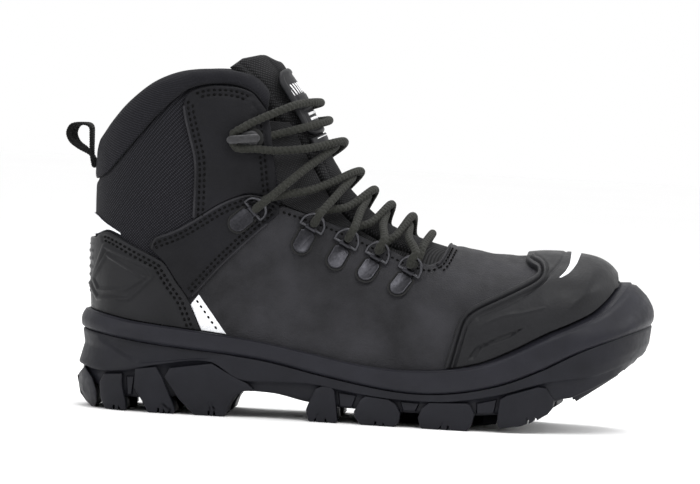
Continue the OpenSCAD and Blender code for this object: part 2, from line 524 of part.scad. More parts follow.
// ---- lace ------------------------------------------------------------------
// where the strands cross the ridge, as [x, z]: the bar, the four crossings, the hooks
CROSS = [[37, 98], [24.5, 102], [11.5, 108.4], [1, 116.6], [-8, 127], [-17.5, 143]];
function over_ridge(p, out) = let (q = skin(p[0], p[1], [out])[0]) [q[0], sweep_y(q[0]), q[2]];
function through_ring(i, side) = let (m = bar_frame(i, side))
    [for (p = [[10, 0, 1.2], [5.6, 0, 0.5], [3.6, 0, 2.8], [1.5, 0, 5.6], [2.8, 0, 8.9], [6.8, 0, 9.9]])
     place(m, p)];
function round_hook(side) = let (m = hook_frame(side), s = -side)
    [for (p = [[10, -5.2 * s, 3.3], [4.8, -5 * s, 3.4], [1.6, -3.4 * s, 3.4], [0.9, 0, 3.4],
               [1.6, 3.4 * s, 3.4], [5, 5.2 * s, 3.9]]) place(m, p)];
inner_out = 2;
outer_out = 7;
// a strand beside the throat, on its way from the bar of ring i towards a crossing
function beside(i, cross_at, side, out) =
    let (b = [BARS[i][0], BARS[i][1]], p = b + 0.62 * (cross_at - b)) on_upper(p[0], p[1], side, out);
// one end of the lace, from the bar up to its tuck; the first crossing is at height out
function lace_half(side, out) = concat(
    [for (k = [0:4]) let (s = k % 2 == 0 ? side : -side, h = k % 2 == 0 ? out : inner_out +
        outer_out - out)
        each concat([beside(4 - k, CROSS[k], s, 3.7)], through_ring(4 - k, s),
                    [beside(4 - k, CROSS[k + 1], s, 5), over_ridge(CROSS[k + 1], h)])],
    [on_upper(-31, 141, -side, 4.5), on_upper(-46, 139.5, -side, leather + 2.9)],
    round_hook(-side), tail(-side));
// from the hook over the front of the tongue to the far edge, where the end is tucked in
function tail(side) = let (q = side < 0 ? [-28.2, 164] : [-23.3, 155])
    [on_upper(-60, 153, side, 5), on_upper(-50, 158, side, 5), on_upper(-38, q[1] - 1, side, 4.5),
     over_ridge(q, 4), on_upper(q[0] - 9, q[1] - 3, -side, 3.4), on_upper(-44, q[1] - 7, -side, 3)];
LACE = concat(reverse(lace_half(1, outer_out)), [over_ridge(CROSS[0], inner_out)],
              lace_half(-1, inner_out));
module tube(route, d, sides) {
    n = len(route);
    function heading(i) = unit(route[min(i + 1, n - 1)] - route[max(i - 1, 0)]);
    // carry one sideways direction along the route so that the tube doesn't twist
    frames = [for (i = 0, s = unit(cross(heading(0), [0.3, 0.2, 1])); i < n;
              i = i + 1, s = i < n ? unit(s - (s * heading(i)) * heading(i)) : s) [s,
                  cross(heading(i), s)]];
    polyhedron([for (i = [0:n - 1], k = [0:sides - 1])
                route[i] + d / 2 * (cos(360 * k / sides) * frames[i][0] + sin(360 * k / sides) *
                    frames[i][1])],
               ring_faces(n, sides), convexity = 10);
}
function ring_faces(rings, n) = concat(
    [[for (i = [0:n - 1]) i]],
    [[for (i = [n - 1:-1:0]) (rings - 1) * n + i]],
    [for (j = [0:rings - 2], i = [0:n - 1]) let (a = j * n + i, b = j * n + (i + 1) % n)
        each [[b, a, a + n], [b, a + n, b + n]]]);
// smooth route through the points, whose pace follows the distance between them
function glide(p, step) = let (m = len(p) - 1)
    concat([for (i = [0:m - 1]) let (b = p[i], c = p[i + 1], h = norm(c - b),
        n = max(2, ceil(h / step)),
                u = h * unit(c - p[max(i - 1, 0)]), v = h * unit(p[min(i + 2, m)] - b))
            for (k = [0:n - 1]) let (t = k / n, t2 = t * t, t3 = t2 * t)
            (2 * t3 - 3 * t2 + 1) * b + (t3 - 2 * t2 + t) * u + (3 * t2 - 2 * t3) * c + (t3 - t2) * v],
           [p[m]]);
module lace() { color([0.2, 0.2, 0.18]) tube(glide(LACE, 6), lace_d, 8); }

webbing_w = 14;
webbing_t = 1.6;
module pull_loop() {
    outer = spline([[-142.4, 126], [-145, 131.5], [-149.5, 134.6], [-154.6, 138.3], [-156.7, 143.5],
                    [-154.3, 148.5], [-148, 149.4], [-144.6, 147.3], [-144, 142], [-143.6, 133],
                    [-142.4, 126]], 3);
    color([0.1, 0.1, 0.1]) translate([0, mid_y, 0]) rotate([90, 0, 0])
        linear_extrude(webbing_w, center = true) difference() {
            polygon(outer);
            offset(-webbing_t) polygon(outer);
        }
}

outsole_heel();
outsole_arch();
outsole_forefoot();
midsole();
shank();
insole_board();
footbed();
steel_toe_cap();
heel_counter();
vamp();
quarter(-1);  // quarter_lateral
quarter(1);  // quarter_medial
rear_textile();
vamp_lining();
quarter_lining();
collar();
toe_overlay();
toe_reflective_strip();
heel_cap();
heel_reflective_strip();
side_strip(-1);  // side_reflective_lateral
side_strip(1);  // side_reflective_medial
ankle_band(-1);  // ankle_band_lateral
ankle_band(1);  // ankle_band_medial
eyestay(-1);  // eyestay_lateral
eyestay(1);  // eyestay_medial
gusset(-1);  // gusset_lateral
gusset(1);  // gusset_medial
tongue();
tongue_label();
label_bars();
lace_keeper();
lace();
ring_clips(-1);  // ring_clips_lateral
ring_clips(1);  // ring_clips_medial
hook(-1);  // hook_lateral
hook(1);  // hook_medial
pull_loop();
d_ring(0, -1);  // ring_lateral_1
d_ring(1, -1);  // ring_lateral_2
d_ring(2, -1);  // ring_lateral_3
d_ring(3, -1);  // ring_lateral_4
d_ring(4, -1);  // ring_lateral_5
d_ring(0, 1);  // ring_medial_1
d_ring(1, 1);  // ring_medial_2
d_ring(2, 1);  // ring_medial_3
d_ring(3, 1);  // ring_medial_4
d_ring(4, 1);  // ring_medial_5
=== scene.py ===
import bpy, bmesh, math
import numpy as np
from mathutils import Vector, Matrix


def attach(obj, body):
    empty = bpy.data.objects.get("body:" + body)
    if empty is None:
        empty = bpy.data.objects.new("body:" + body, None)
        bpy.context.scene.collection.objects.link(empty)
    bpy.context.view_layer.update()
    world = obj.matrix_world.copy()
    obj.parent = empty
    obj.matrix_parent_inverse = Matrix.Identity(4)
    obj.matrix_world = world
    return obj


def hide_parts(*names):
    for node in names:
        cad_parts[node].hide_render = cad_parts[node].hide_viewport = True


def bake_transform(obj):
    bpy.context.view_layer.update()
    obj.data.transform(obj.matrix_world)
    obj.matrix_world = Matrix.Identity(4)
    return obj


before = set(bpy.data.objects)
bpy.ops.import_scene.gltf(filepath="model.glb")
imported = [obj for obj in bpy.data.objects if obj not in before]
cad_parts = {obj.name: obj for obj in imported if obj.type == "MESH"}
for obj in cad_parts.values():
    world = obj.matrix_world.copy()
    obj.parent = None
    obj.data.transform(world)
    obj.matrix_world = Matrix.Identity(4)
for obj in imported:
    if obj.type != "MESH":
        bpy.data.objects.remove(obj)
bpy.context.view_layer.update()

MID_Y = -2.2

# ---- camera and light ---------------------------------------------------------------
AZ, EL, ROLL, DIST, MM_PX = 3.0, 2.0, 2.9, 3000.0, 0.5285  # degrees, mm, mm a pixel
IMAGE_W, SENSOR_W = 700, 36
LOOK = (-5.7, MID_Y, 93.2)


def unit(v):
    v = np.asarray(v, float)
    return v / np.maximum(np.linalg.norm(v, axis=-1, keepdims=True), 1e-12)


def camera():
    a, e, r = (math.radians(v) for v in (AZ, EL, ROLL))
    back = np.array([math.sin(a) * math.cos(e), -math.cos(a) * math.cos(e), math.sin(e)])
    right = np.array([math.cos(a), math.sin(a), 0])
    up = np.cross(back, right)
    right, up = math.cos(r) * right + math.sin(r) * up, -math.sin(r) * right + math.cos(r) * up
    cam = bpy.data.objects.new("camera", bpy.data.cameras.new("camera"))
    bpy.context.scene.collection.objects.link(cam)
    place = (np.array(LOOK) + DIST * back) * 0.001
    cam.matrix_world = Matrix([[right[i], up[i], back[i], place[i]] for i in range(3)] + [[0, 0, 0, 1]])
    cam.data.sensor_width = SENSOR_W
    cam.data.lens = SENSOR_W * DIST / (IMAGE_W * MM_PX)
    cam.data.clip_start, cam.data.clip_end = 0.05, 80
    bpy.context.scene.camera = cam


def area_light(name, at, target, size, power):
    light = bpy.data.lights.new(name, "AREA")
    light.shape = "RECTANGLE"
    light.size, light.size_y = size
    light.energy = power
    o = bpy.data.objects.new(name, light)
    bpy.context.scene.collection.objects.link(o)
    o.location = at
    o.rotation_euler = (Vector(target) - Vector(at)).to_track_quat("-Z", "Y").to_euler()


camera()
area_light("key", (0.35, -0.75, 1.15), (0, 0, 0.08), (0.9, 0.6), 9)
area_light("fill", (-1.0, -0.9, 0.45), (0, 0, 0.09), (0.7, 0.5), 4)
area_light("toe_rim", (1.1, 0.1, 0.7), (0.05, 0, 0.08), (0.4, 0.6), 4)
area_light("top", (0, 0.35, 1.2), (0, 0, 0.1), (0.9, 0.5), 7)
world = bpy.data.worlds.new("studio")
bpy.context.scene.world = world
world.use_nodes = True
world.node_tree.nodes["Background"].inputs[0].default_value = (1, 1, 1, 1)
world.node_tree.nodes["Background"].inputs[1].default_value = 1.0
bpy.context.scene.view_settings.view_transform = "Standard"

# ---- numbers shared with the CAD ------------------------------------------------------
SIDES = (-1, 1)
NAMED_SIDES = ((-1, "lateral"), (1, "medial"))
LIFT = 0.25  # gap between the leather and the underside of what is sewn on it
BAR_HIGH = 2.0  # from the leather to the middle of a D-ring's bar
# the boot's front outline from the toe over the instep to the tongue's top: x, z
RIDGE = [[138.4, 14], [138.5, 50], [138, 72], [134.5, 83], [126, 89.5], [112, 91.8], [98, 92],
         [84, 90.5], [70, 91.2], [56, 93.5], [42, 96.5], [29, 100.5], [17, 105], [6, 112],
         [-3, 120.5], [-10, 130], [-16, 140], [-21, 151], [-27, 162], [-33.5, 172.5],
         [-41, 182.5], [-49, 193], [-57, 204]]


def crom(a, b, c, d, t):
    """Catmull-Rom curve from b to c at t"""
    return (2 * b + (c - a) * t + (2 * a - 5 * b + 4 * c - d) * t * t
            + (3 * b - a - 3 * c + d) * t * t * t) / 2


def spline(p, n):
    """the curve through the points p, in n steps from each to the next"""
    p = np.asarray(p, float)
    m = len(p) - 1
    return np.array([crom(p[max(i - 1, 0)], p[i], p[i + 1], p[min(i + 2, m)], k / n)
                     for i in range(m) for k in range(n)] + [p[m]])


def smooth(x, p):
    """smooth interpolation at x through the table p of x and value"""
    p = np.asarray(p, float)
    x = np.asarray(x, float)
    i = np.clip(np.searchsorted(p[:, 0], x, side="right") - 1, 0, len(p) - 2)
    m = len(p) - 1
    s = np.array([(p[min(k + 1, m), 1] - p[max(k - 1, 0), 1]) / (p[min(k + 1, m), 0] - p[max(k - 1, 0), 0])
                  for k in range(len(p))])
    h = p[i + 1, 0] - p[i, 0]
    t = np.clip((x - p[i, 0]) / h, 0, 1)
    u, v = t * t, t * t * t
    return ((2 * v - 3 * u + 1) * p[i, 1] + (v - 2 * u + t) * h * s[i]
            + (3 * u - 2 * v) * p[i + 1, 1] + (v - u) * h * s[i + 1])


R_FINE = spline(RIDGE, 8)


def line_dist(q, line):
    """distance from the points q to a line of points, in side view, and which side they are on"""
    flat = q.reshape(-1, 2)
    a, b = line[:-1], line[1:]
    d = b - a
    best = np.full(len(flat), 1e9)
    sign = np.ones(len(flat))
    for k in range(len(a)):
        t = np.clip(((flat - a[k]) @ d[k]) / (d[k] @ d[k]), 0, 1)
        off = flat - a[k] - t[:, None] * d[k]
        dist = np.hypot(off[:, 0], off[:, 1])
        near = dist < best - 1e-9
        best = np.where(near, dist, best)
        turn = d[k, 0] * (flat[:, 1] - a[k, 1]) - d[k, 1] * (flat[:, 0] - a[k, 0])
        sign = np.where(near, np.where(turn >= 0, 1, -1), sign)
    return best.reshape(q.shape[:-1]), sign.reshape(q.shape[:-1])


def ridge_dist(x, z):
    """how far inside the boot's front outline the point x, z is"""
    d, s = line_dist(np.stack([x, z], -1), R_FINE)
    return d * s


def back_x(z):
    """where the upper's back is at the height z"""
    return -141 + 0.0008 * (z - 105) ** 2


def sweep_y(x):
    """the middle line, which swings to the medial side towards the toe"""
    return MID_Y + 7 * (np.maximum(x + 20, 0) / 160) ** 2


def round_sq(t):
    """square of the share of its full width that a rounded body has at t of its edge's depth"""
    return 1 - np.maximum(1 - t, 0) ** 2.5


# half width of the upper, and the depth over which it rounds off to the ridge, by x
HALF = [[-145, 37], [-60, 37.5], [-20, 40.5], [20, 45.5], [60, 50], [90, 49.5], [120, 47], [145, 44]]
ROUND = [[-60, 75], [0, 75], [30, 66], [60, 56], [100, 42], [140, 40]]


def width_sq(x, z):
    """square of the upper's half width at x, z"""
    widen = 0.06 * np.maximum(z - 60, 0) * np.clip((10 - x) / 70, 0, 1)
    return ((smooth(x, HALF) + widen) ** 2 * round_sq(ridge_dist(x, z) / smooth(x, ROUND))
            * round_sq((x - back_x(z)) / 42))


def skin(q, t):
    """points of the upper at the side-view points q, moved out by t: x, half width, z"""
    x, z = q[..., 0], q[..., 1]
    d = 0.6  # step for the slope
    w = np.sqrt(np.maximum(width_sq(x, z), 0))
    n = unit(np.stack([-(width_sq(x + d, z) - width_sq(x - d, z)) / (4 * d), w,
                       -(width_sq(x, z + d) - width_sq(x, z - d)) / (4 * d)], -1))
    t = np.asarray(t, float) * np.ones(w.shape)
    return np.stack([x + t * n[..., 0], np.maximum(w + t * n[..., 1], 0), z + t * n[..., 2]], -1)


def on_side(p, side):
    """points with a half width for y, moved to their place on one side of the boot"""
    return np.stack([p[..., 0], sweep_y(p[..., 0]) + side * p[..., 1], p[..., 2]], -1)


def both_sides(g):
    """a grid of points and its mirror image, joined at its last column"""
    return np.concatenate([on_side(g, -1), on_side(g, 1)[:, -2::-1]], 1)


def lay(q, t, side):
    """side-view points laid on one side of the upper, t out of its skin"""
    return on_side(skin(np.asarray(q, float), t), side)


def lengths(p):
    """distance along a line of points, at each point"""
    return np.concatenate([[0], np.cumsum(np.linalg.norm(np.diff(p, axis=0), axis=1))])


def grid_runs(P):
    """distance along a grid's rows from its first column, and along its columns from its first row"""
    return [np.cumsum(np.linalg.norm(np.diff(P, axis=k, prepend=P.take([0], k)), axis=2), axis=k)
            for k in (1, 0)]


def rolled(d, r):
    """height of an edge rounded to the radius r, at the distance d from it: 0 to 1"""
    return np.sqrt(np.clip(1 - (1 - np.clip(d / r, 0, 1)) ** 2, 0, 1))


def at_fr(p, f):
    """points at the fractions f of the line of points p"""
    p = np.asarray(p, float)
    l = lengths(p)
    return np.stack([np.interp(np.asarray(f) * l[-1], l, p[:, k]) for k in range(p.shape[1])], -1)


def ridge_at_x(x):
    part = R_FINE[24:]  # from the toe's top on
    return float(np.interp(-x, -part[:, 0], part[:, 1]))


def noise(p, cell, seed):
    """smooth value noise from -1 to 1 at the points p, 2-D or 3-D"""
    p = np.asarray(p, float) / cell
    i = np.floor(p).astype(np.int64)
    f = p - i
    f = f * f * (3 - 2 * f)
    dims = p.shape[-1]
    primes = np.array([73856093, 19349663, 83492791])[:dims]
    out = np.zeros(p.shape[:-1])
    for corner in range(2 ** dims):
        off = np.array([(corner >> k) & 1 for k in range(dims)])
        h = ((i + off) * primes).sum(-1) + seed * 2654435761
        h = (h ^ (h >> 13)) * 1274126177
        v = ((h ^ (h >> 16)) & 0xFFFF) / 32767.5 - 1
        out += v * np.prod(np.where(off, f, 1 - f), -1)
    return out


# ---- meshes --------------------------------------------------------------------------
MATS = {}


def make(name, verts, faces, mat, body="boot", slot=None, replaces=(), uv=None, fix=True):
    """object from points in mm. body None leaves the ride to the caller"""
    me = bpy.data.meshes.new(name)
    me.from_pydata((np.asarray(verts).reshape(-1, 3) * 0.001).tolist(), [],
                   faces.tolist() if isinstance(faces, np.ndarray) else faces)
    if uv is not None:
        layer = me.uv_layers.new(name="UVMap")
        loops = np.zeros(len(me.loops), np.int32)
        me.loops.foreach_get("vertex_index", loops)
        flat = np.asarray(uv).reshape(-1, 2)[loops] * 0.001
        layer.data.foreach_set("uv", flat.ravel().astype(np.float32))
    me.validate()
    if fix:
        b = bmesh.new()
        b.from_mesh(me)
        bmesh.ops.recalc_face_normals(b, faces=b.faces)
        b.to_mesh(me)
        b.free()
    me.polygons.foreach_set("use_smooth", np.ones(len(me.polygons), bool))
    me.materials.append(MATS[mat])
    o = bpy.data.objects.new(name, me)
    bpy.context.scene.collection.objects.link(o)
    if body:
        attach(o, body)
    if replaces:
        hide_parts(*replaces)
    return o


def sharpen(o, angle=32):
    o.data.set_sharp_from_angle(angle=math.radians(angle))
    return o


def grid_faces(rows, cols, closed=False):
    """faces of a grid of points whose rows may be closed rings"""
    i = np.arange(cols if closed else cols - 1)
    j = np.arange(rows - 1)
    J, I = np.meshgrid(j, i, indexing="ij")
    a = J * cols + I
    b = J * cols + (I + 1) % cols
    return np.stack([a, b, b + cols, a + cols], -1).reshape(-1, 4)


def ring_faces(k, n, closed=False):
    """faces of k rings of n points, closed end to end or with a cap at each end"""
    last = (k - 1) * n
    if closed:
        ends = [[last + i, last + (i + 1) % n, (i + 1) % n, i] for i in range(n)]
    else:
        ends = [list(range(n)), list(range(last, last + n))]
    return grid_faces(k, n, True).tolist() + ends


def rings_solid(rings, closed=False):
    g = np.array(rings)
    return g.reshape(-1, 3), ring_faces(*g.shape[:2], closed)


def rim_of(rows, cols):
    """the points round the edge of a grid, in order"""
    return np.array(list(range(cols)) + [j * cols + cols - 1 for j in range(1, rows)]
                    + [(rows - 1) * cols + i for i in range(cols - 2, -1, -1)]
                    + [j * cols for j in range(rows - 2, 0, -1)])


def between(outer, inner):
    """vertices and faces of the closed solid between two grids of points"""
    rows, cols = outer.shape[:2]
    n = rows * cols
    f1 = grid_faces(rows, cols)
    rim = rim_of(rows, cols)
    nxt = np.roll(rim, -1)
    sides = np.stack([nxt, rim, rim + n, nxt + n], -1)
    return (np.concatenate([outer.reshape(-1, 3), inner.reshape(-1, 3)]),
            np.concatenate([f1, f1[:, ::-1] + n, sides]))


# distances from a finished edge at which its round has points
EDGE = np.array([0, 0.1, 0.25, 0.5, 0.85, 1.3, 1.9])


def fr(length, step, first=True, last=True):
    """fractions along a length, close together at the finished edges"""
    a = EDGE if first else EDGE[:1]
    b = EDGE if last else EDGE[:1]
    n = max(int((length - a[-1] - b[-1]) / step), 2)
    mid = np.linspace(a[-1], length - b[-1], n + 1)
    return np.concatenate([a[:-1], mid, (length - b[:-1])[::-1]]) / length


def fill(low, high, first, last, u, v):
    """grid of side-view points between four edges, at the fractions u along and v up"""
    a, b = at_fr(low, u), at_fr(high, u)
    c, d = at_fr(first, v), at_fr(last, v)
    U, W = u[None, :, None], v[:, None, None]
    return ((1 - W) * a[None] + W * b[None] + (1 - U) * c[:, None] + U * d[:, None]
            - (1 - U) * (1 - W) * a[0] - U * (1 - W) * a[-1] - (1 - U) * W * b[0] - U * W * b[-1])


def mirrored_uv(uv):
    return np.concatenate([uv, uv[:, -2::-1] * [-1, 1]], 1)


def size_of(line):
    return lengths(lay(at_fr(line, np.linspace(0, 1, 60)), 0, -1))[-1]


def panel(name, low, high, first, last, lo, hi, side, mat, slot, replaces=(), step=1.6, r=1.1,
          height=None, body="boot", edges=(True, True, True, True)):
    """solid sheet between four side-view edges, from lo to hi out of the upper's skin. edges says
    which of low, high, first, last are finished, with an edge rounded to r, and height(q) moves its
    face out. Side 0 joins both sides at last, which runs along the silhouette"""
    wrap = side == 0
    lu = max(size_of(low), size_of(high))
    lv = max(size_of(first), size_of(last))
    if wrap:
        n = max(int(lu / step), 8)
        s = np.sin(np.linspace(0, math.pi / 2, n))
        u = np.unique(np.concatenate([EDGE / lu, s[s > 2.2 / lu], [0]])) if edges[2] else s
    else:
        u = fr(lu, step, edges[2], edges[3])
    v = fr(lv, step, edges[0], edges[1])
    q = fill(low, high, first, last, u, v)
    du, dv = grid_runs(lay(q, hi, -1))
    D = np.full(q.shape[:2], 1e3)
    dists = (dv, dv[-1:] - dv, du, du[:, -1:] - du)
    for on, dist in zip(edges[:3] if wrap else edges, dists):  # the silhouette is no edge
        if on:
            D = np.minimum(D, dist)
    t = hi - min(r, hi - lo - 0.02) * (1 - rolled(D, r))
    if height is not None:
        t = t + height(q)
    outer, inner = skin(q, t), skin(q, lo)
    uv = np.stack([du - (du[:, -1:] if wrap else 0), dv + q[:1, :, 1]], -1)
    if wrap:
        outer[:, -1, 1] = inner[:, -1, 1] = 0
        outer, inner = both_sides(outer), both_sides(inner)
        uv = mirrored_uv(uv)
    else:
        outer, inner = on_side(outer, side), on_side(inner, side)
    V, F = between(outer, inner)
    return sharpen(make(name, V, F, mat, body, slot, replaces, np.array([uv, uv])), 55)


def sweep(points, radius, sides=10, shape=None):
    """tube along 3-D points; shape(angle, distance) scales its radius"""
    p = np.asarray(points, float)
    n = len(p)
    tan = unit(np.gradient(p, axis=0))
    s = np.zeros_like(p)
    s[0] = unit(np.cross(tan[0], [0.3, 0.2, 1]))
    for i in range(1, n):
        s[i] = unit(s[i - 1] - (s[i - 1] @ tan[i]) * tan[i])
    b = np.cross(tan, s)
    ang = np.linspace(0, 2 * math.pi, sides, endpoint=False)
    rad = np.full((n, 1), float(radius))
    k = rad * (shape(ang[None], lengths(p)[:, None]) if shape else 1)
    return rings_solid(p[:, None] + k[..., None] * (np.cos(ang)[None, :, None] * s[:, None]
                                                    + np.sin(ang)[None, :, None] * b[:, None]))


def join_parts(parts):
    V, F, base = [], [], 0
    for v, f in parts:
        V.append(np.asarray(v).reshape(-1, 3))
        F += [[int(i) + base for i in face] for face in (f.tolist() if isinstance(f, np.ndarray) else f)]
        base += len(V[-1])
    return np.concatenate(V), F


def inset(line, d):
    """the side-view line moved d to its left"""
    line = np.asarray(line, float)
    t = unit(np.gradient(line, axis=0))
    return line + d * np.stack([-t[:, 1], t[:, 0]], -1)


PITCH, FAT, LONG = 2.9, 0.56, 0.6  # of a stitch: length with its gap, radius, part that is thread


def stitches(name, lines, slot):
    """one mesh of separate stitches; lines are (side-view line, side, height out)"""
    ends = np.array([-1, -0.8, -0.3, 0.3, 0.8, 1])
    prof = np.array([0.0, 0.65, 1, 1, 0.65, 0.0])
    V, F = [], []
    base = 0
    ang = np.linspace(0, 2 * math.pi, 6, endpoint=False)
    ring = np.stack([np.cos(ang), np.sin(ang)], -1)
    f = grid_faces(6, 6, True)
    for line, side, out in lines:
        line = np.asarray(line, float)
        dense = at_fr(line, np.linspace(0, 1, max(int(lengths(line)[-1] * 2), 8)))
        P = lay(dense, out, side)
        L = lengths(P)
        n = max(int(L[-1] / PITCH), 1)
        mid = (np.arange(n) + 0.5) / n * L[-1]
        at = lambda s: np.stack([np.interp(s, L, P[:, k]) for k in range(3)], -1)
        c, tan = at(mid), unit(at(mid + 0.6) - at(mid - 0.6))
        up = np.stack([np.interp(mid, L, (lay(dense, out + 1, side) - P)[:, k]) for k in range(3)], -1)
        up = unit(up - (up * tan).sum(-1, keepdims=True) * tan)
        s = np.cross(tan, up)
        half = LONG * L[-1] / n / 2
        pts = (c[:, None, None] + tan[:, None, None] * (ends * half)[None, :, None, None]
               + FAT * prof[None, :, None, None] * (s[:, None, None] * ring[None, None, :, :1]
                                                    + 0.8 * up[:, None, None] * ring[None, None, :, 1:])
               - (0.25 * ends ** 4)[None, :, None, None] * up[:, None, None])
        V.append(pts.reshape(-1, 3))
        F.append((f[None] + (base + 36 * np.arange(n))[:, None, None]).reshape(-1, 4))
        base += 36 * n
    make(name, np.concatenate(V), np.concatenate(F), "thread", slot=slot, fix=False)


def trace(q, line, wide, power=2):
    """1 on a side-view line, fading to 0 over about wide on both sides"""
    return np.exp(-(line_dist(q, np.asarray(line, float))[0] / wide) ** power)


def groove(q, lines, wide=0.9, deep=0.6):
    """how far stitch lines draw the leather in"""
    out = np.zeros(q.shape[:-1])
    for line in lines:
        out = np.minimum(out, -deep * trace(q, line, wide))
    return out


# ---- materials -------------------------------------------------------------------------
class Tree:
    """short hand for building a material's nodes"""

    def __init__(self, name, color, rough, metallic=0.0, sheen=0.0, spec=0.5):
        self.m = bpy.data.materials.new(name)
        self.m.use_nodes = True
        self.t = self.m.node_tree
        self.p = self.t.nodes["Principled BSDF"]
        self.p.inputs["Base Color"].default_value = (*color, 1)
        self.p.inputs["Roughness"].default_value = rough
        self.p.inputs["Metallic"].default_value = metallic
        self.p.inputs["Specular IOR Level"].default_value = spec
        self.p.inputs["Sheen Weight"].default_value = sheen
        self.p.inputs["Sheen Roughness"].default_value = 0.5
        self.color, self.rough = self.p.inputs["Base Color"], self.p.inputs["Roughness"]
        self.c = self.t.nodes.new("ShaderNodeTexCoord")
        self.bump_in = None
        MATS[name] = self.m

    def link(self, a, b):
        self.t.links.new(a, b)

    def node(self, kind, **values):
        n = self.t.nodes.new("ShaderNode" + kind)
        for k, v in values.items():
            if hasattr(n, k):
                setattr(n, k, v)
            else:
                n.inputs[k.replace("_", " ")].default_value = v
        return n

    def noise(self, scale, detail=4.0, rough=0.55):
        n = self.node("TexNoise", Scale=scale, Detail=detail, Roughness=rough)
        self.link(self.c.outputs["Object"], n.inputs["Vector"])
        return n.outputs["Fac"]

    def cells(self, scale):
        n = self.node("TexVoronoi", feature="F1", Scale=scale)
        self.link(self.c.outputs["Object"], n.inputs["Vector"])
        return n.outputs["Distance"]

    def waves(self, period, turn):
        """bands with the period in metres, across the UV map turned by turn degrees"""
        mp = self.node("Mapping")
        mp.inputs["Rotation"].default_value = (0, 0, math.radians(turn))
        self.link(self.c.outputs["UV"], mp.inputs["Vector"])
        w = self.node("TexWave", Scale=0.31416 / period, Distortion=0.0)
        w.inputs["Detail"].default_value = 0
        self.link(mp.outputs["Vector"], w.inputs["Vector"])
        return w.outputs["Fac"]

    def math(self, op, a, b):
        n = self.node("Math", operation=op)
        for s, v in zip(n.inputs, (a, b)):
            if isinstance(v, (int, float)):
                s.default_value = v
            else:
                self.link(v, s)
        return n.outputs[0]

    def ramp(self, fac, lo, hi, a=0.3, b=0.7):
        n = self.node("ValToRGB")
        n.color_ramp.elements[0].position, n.color_ramp.elements[1].position = a, b
        n.color_ramp.elements[0].color = (*lo, 1)
        n.color_ramp.elements[1].color = (*hi, 1)
        self.link(fac, n.inputs["Fac"])
        return n.outputs["Color"]

    def range(self, fac, lo, hi, a=0.3, b=0.7):
        n = self.node("MapRange")
        for s, v in zip(("From Min", "From Max", "To Min", "To Max"), (a, b, lo, hi)):
            n.inputs[s].default_value = v
        self.link(fac, n.inputs["Value"])
        return n.outputs["Result"]

    def mix(self, fac, a, b):
        n = self.node("Mix", data_type="RGBA")
        self.link(fac, n.inputs[0])
        for s, v in zip((n.inputs[6], n.inputs[7]), (a, b)):
            if isinstance(v, tuple):
                s.default_value = (*v, 1)
            else:
                self.link(v, s)
        return n.outputs[2]

    def bump(self, height, distance):
        n = self.node("Bump", Strength=1.0, Distance=distance)
        self.link(height, n.inputs["Height"])
        if self.bump_in is not None:
            self.link(self.bump_in, n.inputs["Normal"])
        self.bump_in = n.outputs["Normal"]
        self.link(self.bump_in, self.p.inputs["Normal"])


def tint(c, k):
    return tuple(min(v * k, 1) for v in c)


def leather(name, color, rough, cell=1.1, deep=0.00012, scuff=1.5):
    t = Tree(name, color, rough, sheen=0.012, spec=0.15)
    broad = t.noise(38, 5)
    fine = t.noise(700, 6, 0.7)
    t.link(t.mix(t.range(broad, 0, 1, 0.35, 0.75), t.ramp(fine, tint(color, 0.8), tint(color, 1.15)),
                 tint(color, scuff)), t.color)
    t.link(t.range(t.noise(160, 4), rough - 0.07, rough + 0.09), t.rough)
    t.bump(t.cells(1000 / cell), deep)
    t.bump(fine, deep * 0.8)
    t.bump(t.noise(120, 3), deep * 2)


def textile(name, color, light, period, rough=0.85, deep=0.00025, turn=45):
    t = Tree(name, color, rough, sheen=0.02, spec=0.1)
    a, b = t.waves(period, turn), t.waves(period, turn + 90)
    weave = t.math("MULTIPLY", a, b)
    fuzz = t.noise(1500, 3)
    t.link(t.mix(t.math("MULTIPLY", weave, t.range(fuzz, 0.5, 1.2)), color, light), t.color)
    t.bump(weave, deep)
    t.bump(fuzz, deep * 0.3)


def rubber(name, color, rough, grain=0.00006):
    t = Tree(name, color, rough, spec=0.15)
    n = t.noise(60, 5)
    t.link(t.ramp(n, tint(color, 0.85), tint(color, 1.25)), t.color)
    t.link(t.range(t.noise(300, 5), rough - 0.06, rough + 0.08), t.rough)
    t.bump(t.noise(1800, 4, 0.6), grain)
    t.bump(t.noise(90, 2), grain * 2)


def metal(name, color, rough):
    t = Tree(name, color, rough, metallic=1.0)
    n = t.noise(900, 4)
    t.link(t.ramp(n, tint(color, 0.75), tint(color, 1.3)), t.color)
    t.link(t.range(t.noise(250, 4), rough - 0.08, rough + 0.1), t.rough)
    t.bump(n, 0.00002)


leather("upper_leather", (0.0028, 0.0028, 0.004), 0.58, scuff=1.7)
leather("nubuck", (0.0098, 0.0097, 0.0112), 0.58, 0.8, 0.00018, 2.6)
leather("overlay_leather", (0.0085, 0.0086, 0.0098), 0.44, 1.6, 0.00006, 1.4)
leather("tpu", (0.0068, 0.0069, 0.008), 0.44, 2.2, 0.00004, 1.4)
textile("cordura", (0.004, 0.004, 0.0052), (0.032, 0.032, 0.038), 0.00125, deep=0.00022)
textile("collar_cloth", (0.005, 0.005, 0.0064), (0.027, 0.027, 0.0325), 0.0011, deep=0.00018)
textile("lining_cloth", (0.006, 0.006, 0.0065), (0.026, 0.026, 0.027), 0.002)
textile("tongue_cloth", (0.008, 0.008, 0.0085), (0.05, 0.05, 0.0525), 0.0012, deep=0.00018)
textile("webbing", (0.005, 0.005, 0.005), (0.02, 0.02, 0.0195), 0.0011, turn=0)
rubber("outsole_rubber", (0.0078, 0.008, 0.0108), 0.5)
rubber("midsole_rubber", (0.0112, 0.0113, 0.0152), 0.47)
